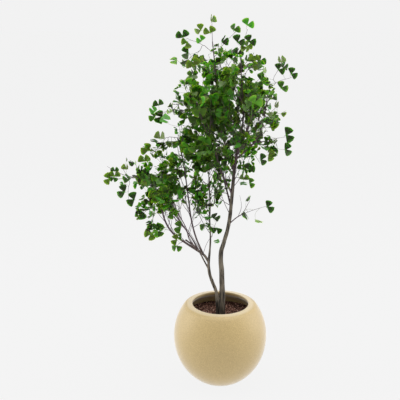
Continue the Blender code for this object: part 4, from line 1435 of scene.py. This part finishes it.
print("leaves set by the photograph:", len(stalk_bars), "of which on shoots, bare twigs or limbs:", long_ones)

# %% [markdown]
# Each other leaf of the rough sprays gets a fine one that hangs as it did, or is turned and made
# smaller until less of it is out of place. One that can't be brought inside the edge is left out.
# Ginkgo leaves grow in clusters, so from the same root come others on longer stalks, turned to the
# other sides of the twig. The shoots get their leaves in the same way, from their outer part on.

# %% Leaves of the rough sprays, their companions, and leaves on shoots
LEAF_TURNS = 60
LONG_REACH = 22
STRAY_WEIGHT = 5
FEW_FAULTS = 0.6
MOST_FAULTS = 2.5
MOST_SHRINK = 0.45
COMPANION_ROOM = 1.12
COMPANION_SWING = (50, 310)
COMPANION_RISE = (-0.2, 0.5)
BARE_PART = 0.3
LEAFY_PART = 0.7
LOOK_BACK = 0.05
SHOOT_LEAF_LEAN = (45, 80)
SHOOT_LEAF_SWING = 0.9


def settle(root, size, turn):
    """Where a rough leaf's fine one hangs: as it was, or turned so that less of it is out of place."""
    matrix = Matrix.Translation(root) @ (Matrix(turn.tolist()) * size).to_4x4()
    best = (faults(shield_of(matrix, 0)) + STRAY_WEIGHT * stray_share(matrix, 0), matrix, 0)
    for number in range(LEAF_TURNS):
        if best[0] < FEW_FAULTS:
            break
        way = Vector([draw.gauss(0, 1) for _ in range(3)]).normalized()
        other = way.to_track_quat("Y", "Z").to_matrix() @ Matrix.Rotation(draw.uniform(0, math.tau), 3, "Y")
        share = number / LEAF_TURNS
        reach = draw.uniform(0, LONG_REACH) * share
        matrix = Matrix.Translation(root) @ (other * size * (1 - MOST_SHRINK * share)).to_4x4()
        places = shield_of(matrix, reach)
        count = faults(places) + STRAY_WEIGHT * stray_share(matrix, reach)
        if count < best[0] and clear(places):
            best = (count, matrix, reach)
    return best


spurs, left_out = [], 0
for name, size, turn, root, _ in free:
    count, matrix, reach = settle(Vector(root), size, turn)
    left_out += count > MOST_FAULTS
    if count <= MOST_FAULTS:
        hang(leaf_jobs[name], matrix, reach, LAST_TONE * draw.random())
    heading = twig_headings.get(tuple(round(c / MM, 1) for c in Vector(root)), UP)
    spurs.append((name, Vector(root), heading, Vector(turn[:, 1])))
first_count = len(hung_shields)
print("leaves of the rough sprays:", len(free), "of which left out:", left_out)
for name, root, heading, first in spurs:
    wanted = int(COMPANIONS + draw.random()) if in_crown(root / MM, COMPANION_ROOM) else 0

    def beside():
        swing = Matrix.Rotation(math.radians(draw.uniform(*COMPANION_SWING)), 3, heading)
        return (swing @ first + heading * draw.uniform(*COMPANION_RISE)).normalized()

    for _ in range(wanted):
        try_leaves(leaf_jobs[name], root, beside)
companion_count = len(hung_shields) - first_count
for shoot, middle in enumerate(shoot_lines[:shoot_count]):
    if shoot % SHOOT_ROUND in BARE_SHOOTS:
        continue
    length = sum((b - a).length for a, b in zip(middle, middle[1:])) / MM
    count = int(length * LEAFY_PART / SHOOT_LEAF_GAP)
    for number in range(count):
        share = BARE_PART + LEAFY_PART * (number + 0.5) / count
        root = along(middle, share) * MM
        heading = (along(middle, share) - along(middle, share - LOOK_BACK)).normalized()

        def around():
            lean = Matrix.Rotation(math.radians(draw.uniform(*SHOOT_LEAF_LEAN)), 3, heading.orthogonal())
            chance = draw.uniform(-SHOOT_LEAF_SWING, SHOOT_LEAF_SWING)
            swing = Matrix.Rotation(GOLDEN_ANGLE * number + chance, 3, heading)
            return swing @ lean @ heading

        try_leaves(leaf_jobs["inner"], root, around)
on_shoots = len(leaf_jobs["inner"]) - len(long_ones)
print("leaves:", first_count, "companions:", companion_count, "on shoots:", on_shoots)

# %% [markdown]
# What the leaves so far leave open inside the crown's edge, apart from its gaps, is filled leaf by
# leaf: for each open spot one of the nearest twigs sends out a stalk of the right length, and the
# leaf's tilt is a matter of chance. Later rounds try smaller leaves.

# %% Filling the crown
FILL_TRIES = 8
FILL_STALK = (8, 42)
FILL_SIZE = (0.45, 0.9)
FILL_ROUNDS = (1, 0.95, 0.85, 0.75, 0.7)
FILL_DEPTH = (-25, 20)
BLADE_MIDDLE = 14
LEAST_GAIN = 5
perches += [(name, Vector(root), pixel_of(root)) for name in sprays for _, _, root in rough_leaves[name]]
perch_pixels = np.array([perch[-1] for perch in perches])


def fill_spot(column, row, scale):
    """Hangs a leaf from one of the nearest twigs over a spot of the picture."""
    near = np.argsort(np.linalg.norm(perch_pixels - (column, row), axis=1))[:FILL_TRIES]
    for number in near:
        name, root, _ = perches[number]
        middle = place_of(column, row, root.y + draw.uniform(*FILL_DEPTH) * MM)
        size = draw.uniform(*FILL_SIZE) * scale
        length = (middle - root).length / MM - BLADE_MIDDLE * size
        if not FILL_STALK[0] < length < FILL_STALK[1]:
            continue
        reach = length / size - STALK
        matrix = offer_leaf(root, (middle - root).normalized(), reach, size)
        if matrix and gain_of(matrix, reach) >= LEAST_GAIN and clear(shield_of(matrix, reach)):
            hang(leaf_jobs[name], matrix, reach, LAST_TONE * draw.random())
            return


open_spots = np.argwhere(crown_inside & ~covered)
order = list(range(len(open_spots)))
draw.shuffle(order)
before_count = len(hung_shields)
for scale in FILL_ROUNDS:
    for number in order:
        row, column = open_spots[number]
        if not covered[row, column]:
            fill_spot(column + 0.5, row + 0.5, scale)
print("open pixels:", len(open_spots), "then", (crown_inside & ~covered).sum(),
      "leaves added:", len(hung_shields) - before_count)

# %% [markdown]
# Leaf green varies a lot over one tree: young leaves are yellow-green, old ones deep green, a few
# are brown-black, and the undersides are paler. Each leaf's tone picks its place on a ramp of
# colours, fine raised veins run along the fan, spots of painted highlight and painted shade lie
# over the blades, and a slight gloss catches the side lights.

# %% Leaf green
LEAF_TONES = (
    (0.0, (0.024, 0.019, 0.012)), (0.06, (0.019, 0.017, 0.009)), (0.10, (0.009, 0.021, 0.001)),
    (0.28, (0.024, 0.052, 0.002)), (0.5, (0.036, 0.096, 0.002)), (0.63, (0.078, 0.120, 0.006)),
    (0.72, (0.034, 0.135, 0.003)), (0.86, (0.048, 0.250, 0.008)), (0.965, (0.12, 0.29, 0.020)),
    (1.0, (0.30, 0.46, 0.14)),
)
PALER = 1.25
GREYER = 0.003
UNDERSIDES = [(position, [PALER * c + GREYER for c in colour]) for position, colour in LEAF_TONES]
VEIN_SCALE = 11
VEIN_SHADES = ((0, (0.86, 0.86, 0.86)), (1, (1.12, 1.12, 1.06)))
# Painted highlight and shade: a noise lightens some spots of each blade, whiter, and darkens others.
PAINTED_SPOT_SCALE = 75
PAINTED_SPOT_SHADES = ((0.32, (0.72, 0.72, 0.72)), (0.68, (1.2, 1.2, 1.25)))
STALK_SCALE = 300
STALK_TONES = ((0.3, (0.20, 0.20, 0.13)), (0.7, (0.30, 0.33, 0.20)))


def leafy(add, wire, coords):
    """A leaf's own tone, paler below, with veins along the fan and spots of painted highlight and shade."""
    tone = add("Attribute", attribute_name="tone")
    top = ramp_of(add, wire, tone, "Fac", LEAF_TONES)
    under = ramp_of(add, wire, tone, "Fac", UNDERSIDES)
    side = add("Attribute", attribute_name="side")
    below = add("MapRange", {"From Min": 0.1, "From Max": -0.1})
    wire(side, "Fac", below, 0)
    body = mix_of(add, wire, below, top, under)
    veins = add("TexWave", {"Scale": VEIN_SCALE, "Distortion": 0.6, "Detail": 1}, bands_direction="X")
    wire(coords, "UV", veins, "Vector")
    shade = ramp_of(add, wire, veins, "Fac", VEIN_SHADES)
    body = shade_of(add, wire, body, shade)
    # Painted highlight and shade in spots over the blade.
    painted_spots = noise_of(add, wire, coords, PAINTED_SPOT_SCALE)
    light = ramp_of(add, wire, painted_spots, 0, PAINTED_SPOT_SHADES)
    return shade_of(add, wire, body, light), veins


green = finish_of(
    "ginkgo green", 0.34, leafy, bump=0.25, height=0.3 * MM, specular=0.5, Specular_Tint=(0.85, 1, 0.7, 1),
    Subsurface_Weight=0.35, Subsurface_Radius=(0.5, 1, 0.15), Subsurface_Scale=1.5 * MM,
)


def stalky(add, wire, coords):
    """The pale green of a leaf's stalk."""
    streaks = noise_of(add, wire, coords, STALK_SCALE)
    return ramp_of(add, wire, streaks, 0, STALK_TONES), streaks


pale_green = finish_of("pale stalk green", 0.6, stalky, bump=0.2, height=0.2 * MM)
for name in sprays:
    piece = lay_copies(name.replace("spray", "leaves"), leaf_jobs[name])
    smooth(piece, degrees=35)
    enrol(piece, green, "leaf", name)
stalks, _ = draw_wood("leaf_stalks", stalk_bars, rounding=0, steps=4)
smooth(stalks, degrees=60)
enrol(stalks, pale_green, "leaf")
piece = lay_copies("inner_leaves", leaf_jobs["inner"])
smooth(piece, degrees=35)
enrol(piece, green, "leaf")
